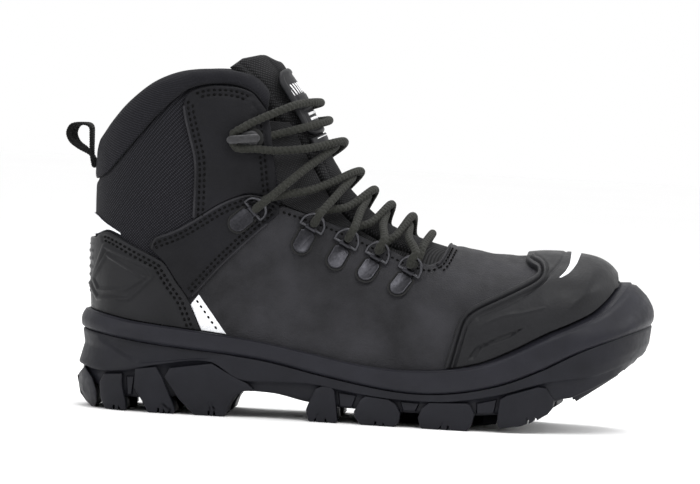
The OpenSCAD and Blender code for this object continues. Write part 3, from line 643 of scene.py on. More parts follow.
rubber("label_rubber", (0.0085, 0.0087, 0.01), 0.46)
rubber("white_print", (0.75, 0.75, 0.76), 0.5, 0.00002)
metal("gunmetal", (0.05, 0.05, 0.055), 0.32)
metal("steel", (0.5, 0.51, 0.53), 0.35)
rubber("board", (0.42, 0.33, 0.22), 0.85, 0.0001)
rubber("counter_plastic", (0.25, 0.25, 0.26), 0.6)
t = Tree("thread", (0.0012, 0.0012, 0.0013), 0.8, sheen=0.0, spec=0.04)
t.bump(t.noise(5000, 2), 0.00006)
t.link(t.ramp(t.noise(400, 2), (0.002, 0.002, 0.002), (0.007, 0.007, 0.007)), t.color)
# near-black matte for the pads round the clips' and hooks' bases: painted shade where the metal meets the
# leather
t = Tree("hole", (0.003, 0.003, 0.003), 0.9)
t.bump(t.noise(3000, 2), 0.00005)
t = Tree("lace_cord", (0.012, 0.0125, 0.01), 0.75, sheen=0.05, spec=0.2)
t.link(t.ramp(t.noise(1600, 4), (0.0055, 0.0058, 0.0045), (0.021, 0.0215, 0.0175)), t.color)
t.bump(t.noise(2600, 3), 0.00012)
t = Tree("reflective", (0.8, 0.81, 0.83), 0.38, spec=0.6)
t.link(t.ramp(t.cells(1600), (0.9, 0.91, 0.93), (0.62, 0.63, 0.66), 0.1, 0.9), t.color)
t.bump(t.cells(1600), 0.00005)


# ---- sole ------------------------------------------------------------------------------
# heights by x: the midsole's rim, the seam between midsole and outsole, the upper's bed, the
# outsole's step over the lugs and the web between them. SOLE is the sole's half width
RIM = [[-146, 52.5], [-118, 47.7], [-81, 44], [-49, 40.5], [-20, 35.5], [4, 31.4], [28, 29.8],
       [51, 31.3], [70, 35], [87, 42], [108, 53], [120, 58.5], [130, 64], [137, 70.5], [141, 75.5],
       [144, 79.5]]
SEAM = [[-146, 41.6], [-107, 36.2], [-49, 31], [-11, 23.6], [26, 18.2], [52, 18.8], [78, 24.3],
        [99, 33], [119, 43.5], [140, 52], [157, 58]]
SOLE = [[-146, 42], [-70, 43], [-20, 45], [20, 51], [58, 56], [90, 55], [120, 52], [157, 50]]
BED = [[-145, 31], [-90, 29], [-40, 25], [0, 20.5], [40, 18.5], [75, 20], [100, 24], [120, 30], [140, 38]]
STEP = [[-146, 23], [-133, 20.5], [-118, 21.5], [-102, 25.2], [-74, 28.5], [-58, 20], [-40, 19.5],
        [-21, 19.8], [-5, 17.6], [10, 15.6], [26, 14.4], [52, 14.8], [78, 19.6], [100, 26.5],
        [112, 29], [125, 31], [140, 36.5], [157, 45]]
WEB = [[-146, 12], [-132, 11.5], [-122, 8], [-100, 8], [-85, 10], [-60, 13.5], [-40, 13.5], [-22, 10],
       [0, 8], [60, 8], [80, 9.5], [100, 14], [112, 18.5], [118, 20], [136, 30], [150, 41]]


def sole_width(x, heel, toe):
    """half width of a level of the sole that runs from heel to toe"""
    return smooth(x, SOLE) * np.sqrt(np.maximum(round_sq((x - heel) / 46) * round_sq((toe - x) / 49), 0))


def heel_end(z):
    return np.interp(z, [0, 8, 20, 34, 41.6], [-139.5, -144.6, -146.4, -143, -144.3])


def toe_end(z):
    return np.interp(z, [0, 10, 28, 36, 40, 44, 48.5, 58],
                     [128, 133, 139.5, 145.5, 149.5, 152.5, 154.6, 155.6])


# stations from heel to toe, closer together at both ends
STATION = (1 - np.cos(np.linspace(0, math.pi, 150))) / 2


def sole_ring(heel, toe, z_of, out=0.0):
    """closed ring of points round the sole at height z_of(x), moved out by out(x, z)"""
    x = heel + (toe - heel) * STATION
    w = sole_width(x, heel - 0.05, toe + 0.05)
    loop = np.concatenate([np.stack([x, sweep_y(x) - w], -1), np.stack([x, sweep_y(x) + w], -1)[::-1]])
    tan = unit(np.roll(loop, -1, 0) - np.roll(loop, 1, 0))
    n = np.stack([tan[:, 1], -tan[:, 0]], -1)
    z = z_of(loop[:, 0])
    off = out(loop[:, 0], z) if callable(out) else out
    loop = loop + n * (np.asarray(off) * np.ones(len(loop)))[:, None]
    return np.concatenate([loop, z[:, None]], 1)


def sole_stack(rings):
    """closed solid through rings round the sole, with strips from side to side over both ends"""
    g = np.array(rings)
    k, n = g.shape[:2]
    F = grid_faces(k, n, True).tolist()
    for base in (0, (k - 1) * n):
        F += [[base + i, base + i + 1, base + n - 2 - i, base + n - 1 - i] for i in range(n // 2 - 1)]
    return g.reshape(-1, 3), F


def rim_z(x):
    return smooth(np.minimum(x, 144), RIM)


def rim_inner(x):
    """height of the rim where it meets the upper, which is shorter than the rim"""
    return rim_z((x + 138.9) / 275.1 * 286.4 - 142.6)


def seam_z(x):
    return smooth(x, SEAM)


def step_z(x):
    return smooth(x, STEP)


def web_z(x):
    return smooth(x, WEB)


def skin_ring(heel, toe, z_of, t):
    """closed ring of points round the upper at height z_of(x), moved out by t"""
    x = heel + (toe - heel) * STATION
    z = z_of(x)
    p = skin(np.stack([x, z], -1), t)
    p[:, 2] = z
    return np.concatenate([on_side(p, -1), on_side(p, 1)[::-1]])


def midsole():
    def wall(f):
        heel, toe = ends(f)

        def height(x):  # the same station along the seam below and the rim above
            s = np.clip((x - heel) / (toe - heel), 0, 1)
            lo = seam_z(-144.3 + 299.5 * s)
            return lo + f * (rim_z(-142.6 + 286.5 * s) - lo)
        return sole_ring(heel, toe, height, 0.35 + 0.5 * math.sin(math.pi * f))

    # toe end of the wall at each height: it bulges over the seam and rolls back to the rim
    ends = lambda f: (-144.4 - 0.5 * math.sin(math.pi * f) + 1.8 * f ** 3,
                      float(np.interp(f, [0, 0.15, 0.3, 0.5, 0.7, 0.85, 0.95, 1],
                                      [155.2, 156.0, 155.9, 154.3, 151.4, 148.2, 145.6, 143.9])))
    rings = [sole_ring(-141, 149, lambda x: seam_z(x) + 0.1, -1.5),
             sole_ring(*ends(0), lambda x: seam_z(x) + 0.1, at_tip(-0.9)),
             sole_ring(*ends(0), lambda x: seam_z(x) + 0.5, at_tip(-0.3)),
             sole_ring(*ends(0.04), lambda x: seam_z(x) + 1.1, 0.25)]
    rings += [wall(f) for f in (0.12, 0.22, 0.34, 0.46, 0.58, 0.7, 0.8, 0.88, 0.94)]
    rings += [sole_ring(-142.6, 143.9, lambda x: rim_z(x) - down, out)
              for down, out in ((1.0, 0.25), (0.35, -0.2), (0.05, -0.7), (0, -1.2))]
    rings += [skin_ring(heel, toe, lambda x: rim_inner(x) - down, t)
              for heel, toe, down, t in ((-138.9, 136.2, 0.25, 0.3), (-138.9, 136.4, 1.2, 0.0),
                                         (-138.5, 136.8, 5, -0.6))]
    make("midsole_wall", *rings_solid(rings, True), "midsole_rubber", slot="midsole_rubber",
         replaces=["midsole"])


def at_tip(o):
    """an inset that fades out round the toe's tip, for sole_ring"""
    return lambda x, _: o * (1 - np.clip((x - 112) / 26, 0, 1) ** 0.8)


def ring_at(z_of, out):
    """ring whose heel and toe ends follow the heights there"""
    return sole_ring(heel_end(z_of(-146.0)), toe_end(z_of(155.0)), z_of, out)


def outsole_piece(name, V, F, replaces=()):
    return make(name, V, F, "outsole_rubber", slot="outsole_rubber", replaces=replaces)


# lower edge of the recess in the heel's side wall
WINDOW = np.array([[-135, 37.2], [-119, 28.6], [-110, 24.9], [-82, 28.6], [-58, 30.6]])


def outsole_body():
    # the heel's side wall is a little recessed above a line, the forefoot has a step over the lugs
    rear, front, deep = -134, -58, 1.5

    def out(x, z):
        line = np.interp(x, WINDOW[:, 0], WINDOW[:, 1])
        s = (np.clip((z - line) / 1.4, 0, 1) * np.clip((x - rear) / 3, 0, 1)
             * np.clip((front - x) / 18, 0, 1))
        return 0.25 - deep * s * s * (3 - 2 * s)
    rings = [sole_ring(-139, 150, lambda x: seam_z(x) - 0.1, -1.6),
             sole_ring(-144.3, 155.3, lambda x: seam_z(x) - 0.1, at_tip(-0.8)),
             sole_ring(-144.3, 155.4, lambda x: seam_z(x) - 0.4, at_tip(-0.2))]
    rings += [ring_at(lambda x: seam_z(x) + f * (step_z(x) - seam_z(x)), out)
              for f in (*np.linspace(0.06, 0.9, 16), 0.97)]
    rings += [ring_at(lambda x: seam_z(x) + (step_z(x) - seam_z(x)), lambda x, z: out(x, z) - 0.35),
              ring_at(lambda x: step_z(x) - 0.5, at_tip(-2.4))]
    rings += [ring_at(lambda x: step_z(x) + f * (web_z(x) - step_z(x)), at_tip(o))
              for f, o in ((0.35, -2.8), (0.7, -3.0), (0.92, -3.4))]
    rings += [sole_ring(heel_end(12.0), toe_end(41.0), web_z, at_tip(-5.0)),
              sole_ring(heel_end(12.0) + 6, toe_end(41.0) - 6, lambda x: web_z(x) + 0.2, -12.0)]
    outsole_piece("outsole_body", *sole_stack(rings), ["outsole_heel", "outsole_arch", "outsole_forefoot"])


def sipe(x, z=0.0, w=0.9, h=2.6, lean=0.5):
    """points of a narrow cut into a lug's outline, at x and the ground height z"""
    return [[x - w / 2, z], [x - w / 2 + lean * 0.6, z + h],
            [x + w / 2 + lean * 0.4, z + h], [x + w / 2, z]]


LUGS = [  # outline in side view and the depth towards the middle
    ([[-146.6, 15], [-141, 21.5], [-136, 16], [-133.6, 10], [-133.2, 3.6], [-134.6, 0.6], [-137, 0],
      [-141.5, 2], [-144.6, 6]], 30),
    ([[-128.6, 0.4], [-127.6, 0], *sipe(-123.5), *sipe(-120.5), [-117.6, 0], [-116.6, 0.8], [-116.9, 5],
      [-119, 13], [-119.4, 19.6], [-129.4, 18.8], [-131.8, 14], [-130.8, 5]], 26),
    ([[-105, 0.4], [-104, 0], *sipe(-99.5), *sipe(-96.4), *sipe(-93.6, 0, 0.8, 2), [-92, 0],
      [-90.4, 1.4], [-91.2, 4], [-98, 19], [-101.6, 24.3], [-112.6, 22.7], [-113, 13], [-108.2, 6]], 26),
    ([[-81, 0.4], [-80, 0], *sipe(-73), *sipe(-70), [-65.6, 0], [-64, 1], [-62.4, 6], [-59.4, 11],
      [-55, 13.8], [-50, 15], [-53, 18], [-61, 21.5], [-72.5, 27.6], [-94.5, 24], [-97, 19], [-89, 8]], 28),
    ([[-20.6, 0.6], [-19.6, 0], *sipe(-17, 0, 0.7, 2.2), *sipe(-11.5, 0, 0.7, 2), [-6.4, 0], [-5.2, 1],
      [-6, 8], [-7.4, 17], [-9, 18.6], [-14, 19], [-17.4, 17.6], [-20.4, 11], [-22, 6]], 34),
    ([[6.2, 0.8], [7.4, 0], *sipe(14.6, 0, 0.8, 2.2), *sipe(19, 0, 0.8, 2.2), [24.6, 0], [27, 2.6],
      [27.6, 7.4], [25, 12], [21, 14.2], [9, 15.2], [6.4, 13.4], [3.2, 6.6], [3.6, 4.2]], 36),
    ([[38.2, 0.8], [39.4, 0], *sipe(48.5, 0, 0.8, 2.4), *sipe(52.6, 0, 0.8, 2.2), [62.4, 0], [64.8, 2.8],
      [66.2, 9], [64, 13.6], [62, 14.6], [42.4, 13.8], [38.6, 10.6], [36.8, 5.6]], 38),
    ([[78.6, 2.6], [80, 2.2], [90.6, 4], *sipe(94, 5.2, 1, 2.8, 0), *sipe(98, 7.2, 1, 2.8, 0), [104, 10.6],
      [106.6, 14], [107, 18.4], [102.6, 24.4], [98.4, 24.8], [82.4, 19.6], [79, 17.4], [78, 8]], 36),
    ([[118.4, 17.6], [139.4, 31], [139.8, 33.4], [141.6, 34], [142.4, 33.2], [147.4, 37.2], [150.6, 41.6],
      [151, 46], [146, 46.6], [134, 41.4], [121, 34.8], [115, 29], [115.6, 21]], 44),
]


def shrink(p, d):
    """outline moved inwards by about d"""
    p = np.asarray(p, float)
    a, b = unit(p - np.roll(p, 1, 0)), unit(np.roll(p, -1, 0) - p)
    n = unit(np.stack([-(a[:, 1] + b[:, 1]), a[:, 0] + b[:, 0]], -1))
    area = 0.5 * np.sum(p[:, 0] * np.roll(p[:, 1], -1) - np.roll(p[:, 0], -1) * p[:, 1])
    return p + (d if area > 0 else -d) * n


def on_wall(pts, side, out, least=0.0):
    """side-view points laid on the sole's side wall and moved out"""
    w = np.maximum(sole_width(pts[:, 0], heel_end(pts[:, 1]), toe_end(pts[:, 1])) + out, least)
    return on_side(np.stack([pts[:, 0], w, pts[:, 1]], -1), side)


def lug(outline, depth, side):
    p = []
    q = np.asarray(outline, float)
    for k in range(len(q)):  # long edges get points so that the face can follow the wall
        a, b = q[k], q[(k + 1) % len(q)]
        n = max(int(np.hypot(*(b - a)) / 3), 1)
        p += [a + (b - a) * i / n for i in range(n)]
    p = np.array(p)
    mid = p.mean(0)

    def layer(pts, inward):  # the side leans in below 9 mm
        return on_wall(pts, side, 0.35 - 0.11 * np.maximum(9 - pts[:, 1], 0) - inward, 0.8)
    small = shrink(p, 0.8)
    return rings_solid([layer(mid + 0.45 * (small - mid), 0), layer(mid + 0.8 * (small - mid), 0),
                        layer(small, 0), layer(shrink(p, 0.25), 0.25), layer(p, 0.9), layer(p, depth * 0.5),
                        layer(p, depth - 1.2), layer(small, depth)])


def floor_z(x):
    return np.interp(x, [-141, -136, 63, 79, 95, 106, 118, 136, 141],
                     [1.9, 0, 0, 2.2, 5.2, 12, 17.4, 28, 33]) + 0.05


def block(plan):
    """tread block under the sole from its plan outline, down to the floor line"""
    p = np.asarray(plan, float)
    small = shrink(p, 0.8)
    lo = floor_z(p[:, 0])
    return rings_solid([np.c_[p, web_z(p[:, 0]) + 1.5], np.c_[p, lo + 0.7],
                        np.c_[small, floor_z(small[:, 0])]])


def tread():
    lugs = [lug(o, d, s) for o, d in LUGS for s in SIDES]
    sharpen(outsole_piece("tread_lugs", *join_parts(lugs)))
    blocks = []
    for x0, x1, half in ((-127, -118, 13), (-104, -94, 13), (-82, -70, 12)):
        blocks.append([[x0, MID_Y - half], [x0 + 4, MID_Y], [x0, MID_Y + half], [x1, MID_Y + half],
                       [x1 + 4, MID_Y], [x1, MID_Y - half]])
    for x0 in (8, 27, 46, 65, 84):
        y = float(sweep_y(np.array(x0 + 6.0)))
        w = 12 + (x0 < 70) * 2
        blocks.append([[x0, y - w], [x0 + 5, y - w - 3], [x0 + 12, y - w], [x0 + 9, y], [x0 + 12, y + w],
                       [x0 + 5, y + w + 3], [x0, y + w], [x0 - 3, y]])
    for x0 in (102, 116):
        y = float(sweep_y(np.array(x0 + 4.0)))
        blocks.append([[x0, y - 16], [x0 + 6, y - 14], [x0 + 9, y], [x0 + 6, y + 14], [x0, y + 16],
                       [x0 + 2, y]])
    sharpen(outsole_piece("tread_blocks", *join_parts([block(b) for b in blocks])))
    # small recessed blocks seen between the lugs
    small = []
    for outline in ([[-116.5, 8.5], [-113.6, 8.5], [-112.6, 19], [-117.4, 18.6]],
                    [[-4.6, 8.6], [2.4, 8.6], [4.4, 15.4], [-5.6, 16.4]],
                    [[28.6, 8.4], [35.6, 8.4], [37.6, 13.4], [27, 13.6]],
                    [[67, 9], [76.4, 9.6], [77.6, 17.6], [66.6, 15]],
                    [[107.6, 18.6], [113, 19.6], [113.6, 28.6], [105.6, 26.6]]):
        p = np.asarray(outline, float)
        small += [rings_solid([on_wall(shrink(p, 1.0), s, -1.4), on_wall(p, s, -2.8), on_wall(p, s, -6)])
                  for s in SIDES]
    sharpen(outsole_piece("tread_recess_blocks", *join_parts(small)))


def footbed():
    top = lambda x: smooth(x, BED) + 9.0
    V, F = sole_stack([skin_ring(-136.4, 138, lambda x: top(x) + dz, t) for t, dz in (
        (-9.6, -5), (-9.0, -1), (-9.3, -0.2), (-10, 0.0), (-13, -0.9), (-17, -1.8), (-22, -2.3))])
    o = make("footbed_pad", V, F, "lining_cloth", slot="footbed_foam", replaces=["footbed"], uv=V[:, :2])


midsole()
outsole_body()
tread()
footbed()


# ---- outlines of the upper, in side view ---------------------------------------------------
COLLAR_SEAM = [[-50, 159.5], [-57, 168.5], [-66, 173], [-78, 173.6], [-90, 171], [-97.8, 165.5],
               [-107.7, 155.5], [-117.6, 143.9], [-127.5, 131.8], [-134, 124.5], [-140.9, 120.5]]
COLLAR_TOP = [[-49, 172], [-55, 178], [-64, 181], [-76, 181.8], [-90, 180.5], [-102, 177],
              [-113, 171.5], [-124, 162.5], [-132, 153], [-136.5, 146.5], [-139.9, 142]]


def board_line(x):
    """where the upper's lower edge is at x"""
    return [x, float(smooth(x, BED)) + 3.7]


def board_run(a, b):
    return [board_line(x) for x in np.linspace(a, b, 24)]


def rim_line(x):
    """just over the midsole's rim at x"""
    return [x, float(rim_inner(x)) + 0.4]


def rim_run(a, b):
    return [rim_line(x) for x in np.linspace(a, b, 40)]


def up_back(lo, hi):
    z = np.linspace(lo, hi, 30)
    return np.stack([back_x(z), z], -1)


# the end of the ridge over the toe's tip
TIP_TOP = [[134.5, 82.9], [136.1, 79.9], [137.2, 76.5], [137.9, 72.4]]


def ridge_run(a, tip):
    line = [[x, ridge_at_x(x)] for x in np.linspace(a, min(tip, 134), 60)]
    return line + [[x, z] for x, z in TIP_TOP if x <= tip]


def bead(name, line, side, out, radius, mat, slot, step=0.8):
    """piping: a thin cord laid on the upper along a side-view line"""
    line = spline(line, 6)
    n = max(int(lengths(line)[-1] / step), 6)
    P = lay(at_fr(line, np.linspace(0, 1, n)), out, side)
    make(name, *sweep(P, radius), mat, slot=slot)


# ---- leather and textile panels ------------------------------------------------------------
def creases(q, amount, cell=9, seed=3):
    return amount * (noise(q * [1, 0.55], cell, seed) * 0.6 + noise(q * [1, 0.5], cell * 0.4, seed + 1) * 0.4)


def hide(q):
    """the leather's waves and creases"""
    x, z = q[..., 0], q[..., 1]
    throat = np.exp(-((x - 62) / 26) ** 2) * np.clip((z - 56) / 20, 0, 1)
    flex = np.exp(-((x - 30) / 24) ** 2) * np.clip((z - 50) / 25, 0, 1)
    return (creases(q, 0.42, 8) * throat + creases(q * [1.6, 0.8], 0.4, 7, 12) * flex
            + creases(q, 0.34, 16, 5) + creases(q, 0.12, 5, 7))


VAMP_REAR = spline([board_line(45), [46.5, 50], [42.4, 76], [43.6, 86], [44.8, 89.5], [47, 95.4]], 8)


def vamp():
    def height(q):
        rows = np.exp(-(np.abs(q[..., 0] - 51.2) / 0.5) ** 2) * (q[..., 1] > 85)
        return hide(q) - 0.3 * rows
    for node, lo, hi, mat, slot in (("vamp", -1.8, -0.04, "nubuck", "upper_leather"),
                                    ("vamp_lining", -7.3, -4.0, "lining_cloth", "lining")):
        panel(node + "_panel", VAMP_REAR, [board_line(137.9), [137.9, 60], [137.9, 72.4]],
              board_run(45, 137.9), ridge_run(47, 137.9), lo, hi, 0, mat, slot, [node], 1.7,
              height=height if node == "vamp" else None, edges=(False, False, False, False))
    # doubled seam at the throat
    for side in SIDES:
        seam = spline([[47.4, 94], [46, 90.6], [44.3, 87], [42, 84.4]], 8)
        bead(f"throat_piping_{side}", seam[::4], side, 0.5, 0.7, "nubuck", "upper_leather")
    stitches("throat_stitches", [(inset(seam, d), s, 0.35) for d in (2, 4.2) for s in SIDES], "upper_leather")


THROAT = [[44.3, 87.6], [38, 85], [28, 87], [12, 93.5], [-4, 100], [-22, 106.5], [-36, 110.5],
          [-40, 111.7]]


def quarters():
    for side, word in NAMED_SIDES:
        high = np.array(THROAT + [[-60, 100.7], [-80, 87.7], [-96.3, 75.4]], float)
        line = inset(spline(THROAT, 6), 3.2)

        def height(q):
            return hide(q) + groove(q, [line], 0.8, 0.3)
        panel(f"quarter_{word}_panel", board_run(48.2, -99.7), high,
              [board_line(48.2), [50.1, 50], [44.9, 78], high[0]], [board_line(-99.7), [-99.7, 60], high[-1]],
              -1.8, 0, side, "nubuck", "upper_leather", [f"quarter_{word}"], 1.5, height=height,
              edges=(False, True, False, False))


REAR_FRONT = [board_line(-100.3), [-100.3, 60], [-97.6, 76.7], [-80.2, 88.4], [-60, 101.5],
              [-40.5, 112.6], [-41.3, 114.5], [-44, 128], [-47, 143], [-50, 159.1]]
LINING_FRONT = [board_line(44), [43, 60], [40, 85], [28, 87.4], [12, 93.9], [-4, 100.4],
                [-22, 106.9], [-36, 110.9], [-41.3, 114.5], [-44, 128], [-47, 143], [-50, 159.1]]


def rear():
    seam = spline(COLLAR_SEAM, 6) - [0, 0.4]
    ground = board_line(-137)[1]
    for name, front, lo, hi, mat, slot, node in (
            ("rear_textile_panel", REAR_FRONT, -1.8, 0, "cordura", "black_textile", "rear_textile"),
            ("lining_panel", LINING_FRONT, -5.4, -3.4, "lining_cloth", "lining", "quarter_lining")):
        start = front[0]
        low = np.array([[x, max(start[1] + (ground - start[1]) * k / 30, board_line(x)[1])]
                        for k, x in enumerate(np.linspace(start[0], back_x(ground), 31))])
        high = seam.copy()
        high[0] = front[-1]

        def height(q):
            return creases(q, 0.5, 24, 31) + groove(q, [seam], 1.8, 1.3)
        panel(name, low, high, front, up_back(ground, 120.1), lo, hi, 0, mat, slot, [node],
              2.0, height=height if lo > -2 else None, edges=(False, False, True, False))


BAND_TOP = [[-101.8, 81.2], [-108.5, 88.6], [-94.2, 96], [-84, 102.5], [-73.8, 109.5], [-66, 113.5],
            [-58.4, 116], [-47.7, 114.5], [-41.8, 111.3]]
BAND_LOW = [[-86.2, 61.8], [-85, 61.5], [-72, 76.9], [-62, 87.4], [-52, 97.4], [-43, 105.8],
            [-41.6, 107.5]]
BAND_REAR = [BAND_LOW[0], [-93.2, 70.6], [-99, 78.8], BAND_TOP[0]]
STAY_LOW = [[-86, 101.8], [-84, 103.1], [-73.8, 110.2], [-66, 114.2], [-58.4, 116.7], [-47.7, 115.2],
            [-42.2, 112.6]]
STAY_TOP = [[-92, 167.6], [-88, 170.2], [-79.8, 172.3], [-68, 172.1], [-60, 169.6], [-56.4, 166]]
STAY_REAR = [STAY_LOW[0], [-86, 124.5], [-87, 135], [-90, 145.4], [-94, 161], STAY_TOP[0]]
STAY_FRONT = [STAY_LOW[-1], [-44, 122], [-47.2, 142.4], [-50.5, 158], STAY_TOP[-1]]


def part_of(line, a, b, d):
    """a line's stretch between two fractions of it, moved d to its left"""
    return inset(at_fr(line, np.linspace(a, b, 60)), d)


def stays_and_bands():
    rows = []
    for side, word in NAMED_SIDES:
        top, low = spline(BAND_TOP, 6), spline(BAND_LOW, 6)
        seams = [part_of(top, 0.1, 0.99, -2.2), part_of(top, 0.1, 0.99, -4.4),
                 part_of(low, 0.06, 0.97, 2.2), part_of(low, 0.06, 0.97, 4.4)]
        panel(f"ankle_band_{word}_panel", low, top, BAND_REAR, [low[-1], top[-1]], LIFT, 1.8, side,
              "upper_leather", "overlay_leather", [f"ankle_band_{word}"], 1.1,
              height=lambda q: groove(q, seams) + creases(q, 0.12, 10, 17))
        bead(f"band_piping_top_{word}", part_of(top, 0.08, 0.97, -0.2)[::6], side, 1.3, 0.7,
             "nubuck", "overlay_leather")
        bead(f"band_piping_low_{word}", part_of(low, 0.05, 0.95, 0.2)[::6], side, 1.3, 0.6,
             "nubuck", "overlay_leather")
        back, up, front = spline(STAY_REAR, 6), spline(STAY_TOP, 6), spline(STAY_FRONT, 6)
        stay_seams = [part_of(back, 0.02, 0.96, -2.4), part_of(back, 0.02, 0.93, -4.8),
                      part_of(up, 0.08, 0.9, -2.4), part_of(up, 0.14, 0.86, -4.8),
                      part_of(front, 0.06, 0.9, 4.6), part_of(front, 0.06, 0.88, 6.8)]
        fold = part_of(front, 0, 1, 3.4)

        def height(q):
            return groove(q, stay_seams) + groove(q, [fold], 0.6, 0.6) + creases(q, 0.22, 16, 23)
        panel(f"eyestay_{word}_panel", spline(STAY_LOW, 6), up, back, front, LIFT, 1.8, side,
              "upper_leather", "upper_leather", [f"eyestay_{word}"], 1.1, height=height)
        bead(f"eyestay_piping_{word}", part_of(back, 0.02, 0.98, -0.2)[::6], side, 1.3, 0.75,
             "nubuck", "upper_leather")
        foot, head = [rim_line(-79.2), rim_line(-66)], [[-85.5, 57.5], [-81.4, 63]]
        panel(f"side_reflective_{word}_strip", foot, head, [foot[0], head[0]], [foot[1], head[1]],
              LIFT, 0.8, side, "reflective", "reflective", [f"side_reflective_{word}"], 1.0, 0.4)
        rows += [(line, side, 1.62) for line in seams + stay_seams]
        rows += [(inset(spline(THROAT, 6), 3.2)[2:-2], side, 0.0),
                 ([[-70.6, 44.8], [-82.9, 60.6]], side, 0.8)]
    stitches("upper_stitches", rows, "upper_leather")
    low = spline([[-124, 92], [-131, 94], [-137.4, 91.5], [-140.85, 91]], 6)
    high = spline([[-124.5, 93], [-133, 97.5], [-138, 100.8], [-140.98, 102]], 6)
    panel("heel_reflective_band", low, high, [low[0], high[0]], up_back(91, 102), LIFT, 0.8, 0,
          "reflective", "reflective", ["heel_reflective_strip"], 0.8, 0.4)


def closed_line(p):
    """an outline that comes back to its first point"""
    return np.array(list(p) + [p[0]], float)


def ridge_line(q, line, wide, tall):
    """height of a flat-topped ridge along a line"""
    return tall * trace(q, line, wide, 4)


def inside(q, poly):
    """which of the side-view points are inside an outline"""
    p = np.asarray(poly, float)
    out = np.zeros(q.shape[:-1], bool)
    for a, b in zip(p, np.roll(p, -1, 0)):
        cross = (a[1] > q[..., 1]) != (b[1] > q[..., 1])
        with np.errstate(divide="ignore", invalid="ignore"):
            at = (b[0] - a[0]) * (q[..., 1] - a[1]) / (b[1] - a[1]) + a[0]
        out ^= cross & (q[..., 0] < at)
    return out


HEX_OUT = [[-131.4, 85.4], [-108.8, 76], [-105.9, 71], [-117.4, 58.7], [-134.1, 57.9], [-138.7, 63.9]]
HEX_IN = [[-130, 81.2], [-110.1, 70.2], [-119.8, 63.4], [-133.9, 62.1], [-137.3, 67.7]]


def heel():
    low = rim_run(-80.2, -138.8)
    high = spline([[-99.5, 77.6], [-102.7, 80], [-114.6, 85.7], [-130.7, 92.8], [-137.4, 89.4],
                   [-140.8, 89.2]], 8)
    first = [low[0], [-86.9, 59.8], [-93.7, 68.9], high[0]]
    edge = spline(first, 8)
    lines = [inset(edge, 3.2), inset(edge, 5.4), inset(high[2:-14], 2.6), inset(high[4:-14], 4.6)]

    def height(q):
        t = ridge_line(q, closed_line(HEX_OUT), 0.95, 0.95)
        t = np.maximum(t, ridge_line(q, closed_line(HEX_IN), 0.85, 0.85))
        ribs = np.maximum(np.sin((q[..., 1] - 60) / 4.2 * 2 * math.pi), 0) ** 0.7
        at_back = np.clip((-137.2 - q[..., 0]) / 1.2, 0, 1) * ((q[..., 1] > 58) & (q[..., 1] < 86))
        return t + 0.55 * ribs * at_back + groove(q, lines)
    panel("heel_cap_panel", low, high, first, up_back(low[-1][1], 89.2), LIFT, 2.2, 0, "tpu",
          "heel_cap_leather", ["heel_cap"], 0.62, 1.0, height=height, edges=(False, True, True, False))
    stitches("heel_stitches", [(lines[k], s, 1.98) for k in (0, 2, 1, 3) for s in SIDES],
             "heel_cap_leather")
    for side in SIDES:
        bead(f"heel_piping_{side}", inset(edge, 0.5)[::4], side, 1.7, 0.7, "tpu", "heel_cap_leather")


OVER_EDGE = spline([rim_line(49.5), [53, 46.5], [56.6, 58.2], [63, 64.2], [75.3, 70.4], [87, 76.2],
                    [93.8, 80.4], [94.6, 83.6], [90.6, 85.6], [88.4, 87.8], [88.6, 90.9]], 10)
CREST_REAR = [[106.1, 80], [109, 83], [110.9, 86.8], [111.3, 91.8]]
CREST_FRONT = [[107, 79.9], [111, 82.4], [114.4, 86.6], [116.4, 91.6]]


def toe():
    front = [rim_line(135.6), [135.6, 76], [135.6, 80.8]]
    weld = OVER_EDGE[:-8]
    lines = [inset(weld, -2.6), inset(weld, -5.2)]
    arc = spline([[65.6, 58], [86, 68.4], [96, 75.7], [101, 81.3], [106, 87.3], [109, 93.7]], 8)
    wedge = [[60.6, 37.1], [65, 43.8], [74.8, 49], [91.5, 56], [82.9, 49.6], [72.8, 45.4], [67.6, 42.6],
             [65.2, 37.6]]
    mark = spline([[65.6, 54], [77, 59.5], [88, 62], [99, 65]], 6)

    def height(q):
        t = ridge_line(q, inset(weld, -1.0), 1.1, 1.1) + ridge_line(q, inset(weld, -3.7), 0.9, 0.9)
        t = t - 0.8 * trace(q, lines[0], 0.5) - 0.5 * trace(q, arc, 0.75)
        rim = line_dist(q, closed_line(wedge))[0]
        t = t - 1.3 * np.where(inside(q, wedge), np.clip(rim / 0.9, 0, 1), 0) ** 0.7
        t = t + ridge_line(q, mark, 0.6, 0.35)
        return np.maximum(t - 0.6 * trace(q, lines[1], 0.5), -1.6)
    panel("toe_overlay_panel", OVER_EDGE, front, rim_run(49.5, 135.6), ridge_run(88.6, 135.6), LIFT, 2.2, 0,
          "overlay_leather", "overlay_leather", ["toe_overlay"], 0.85, 1.1, height=height,
          edges=(True, False, False, False))
    panel("toe_reflective_crescent", spline(CREST_REAR, 6), spline(CREST_FRONT, 6),
          [CREST_REAR[0], CREST_FRONT[0]], [CREST_REAR[-1], [113.6, 91.75], CREST_FRONT[-1]],
          1.9, 2.6, 0, "reflective", "reflective", ["toe_reflective_strip"], 0.8, 0.4)


# ---- collar and tongue --------------------------------------------------------------------
# section of the collar's pad: share of the way from its seam to its top, and how far out
COLLAR_RING = np.array([[0.0, -1.6], [-0.02, -0.4], [-0.015, 0.8], [0.03, 1.9], [0.12, 3.0], [0.28, 3.9],
                        [0.46, 4.2], [0.64, 3.7], [0.79, 2.5], [0.9, 0.7], [0.97, -1.4], [1.0, -3.6],
                        [0.98, -5.6], [0.92, -7.3], [0.8, -8.6], [0.6, -9.2], [0.4, -9.3], [0.2, -8.8],
                        [0.06, -7.8], [0.0, -6.4], [0.0, -4.0]])


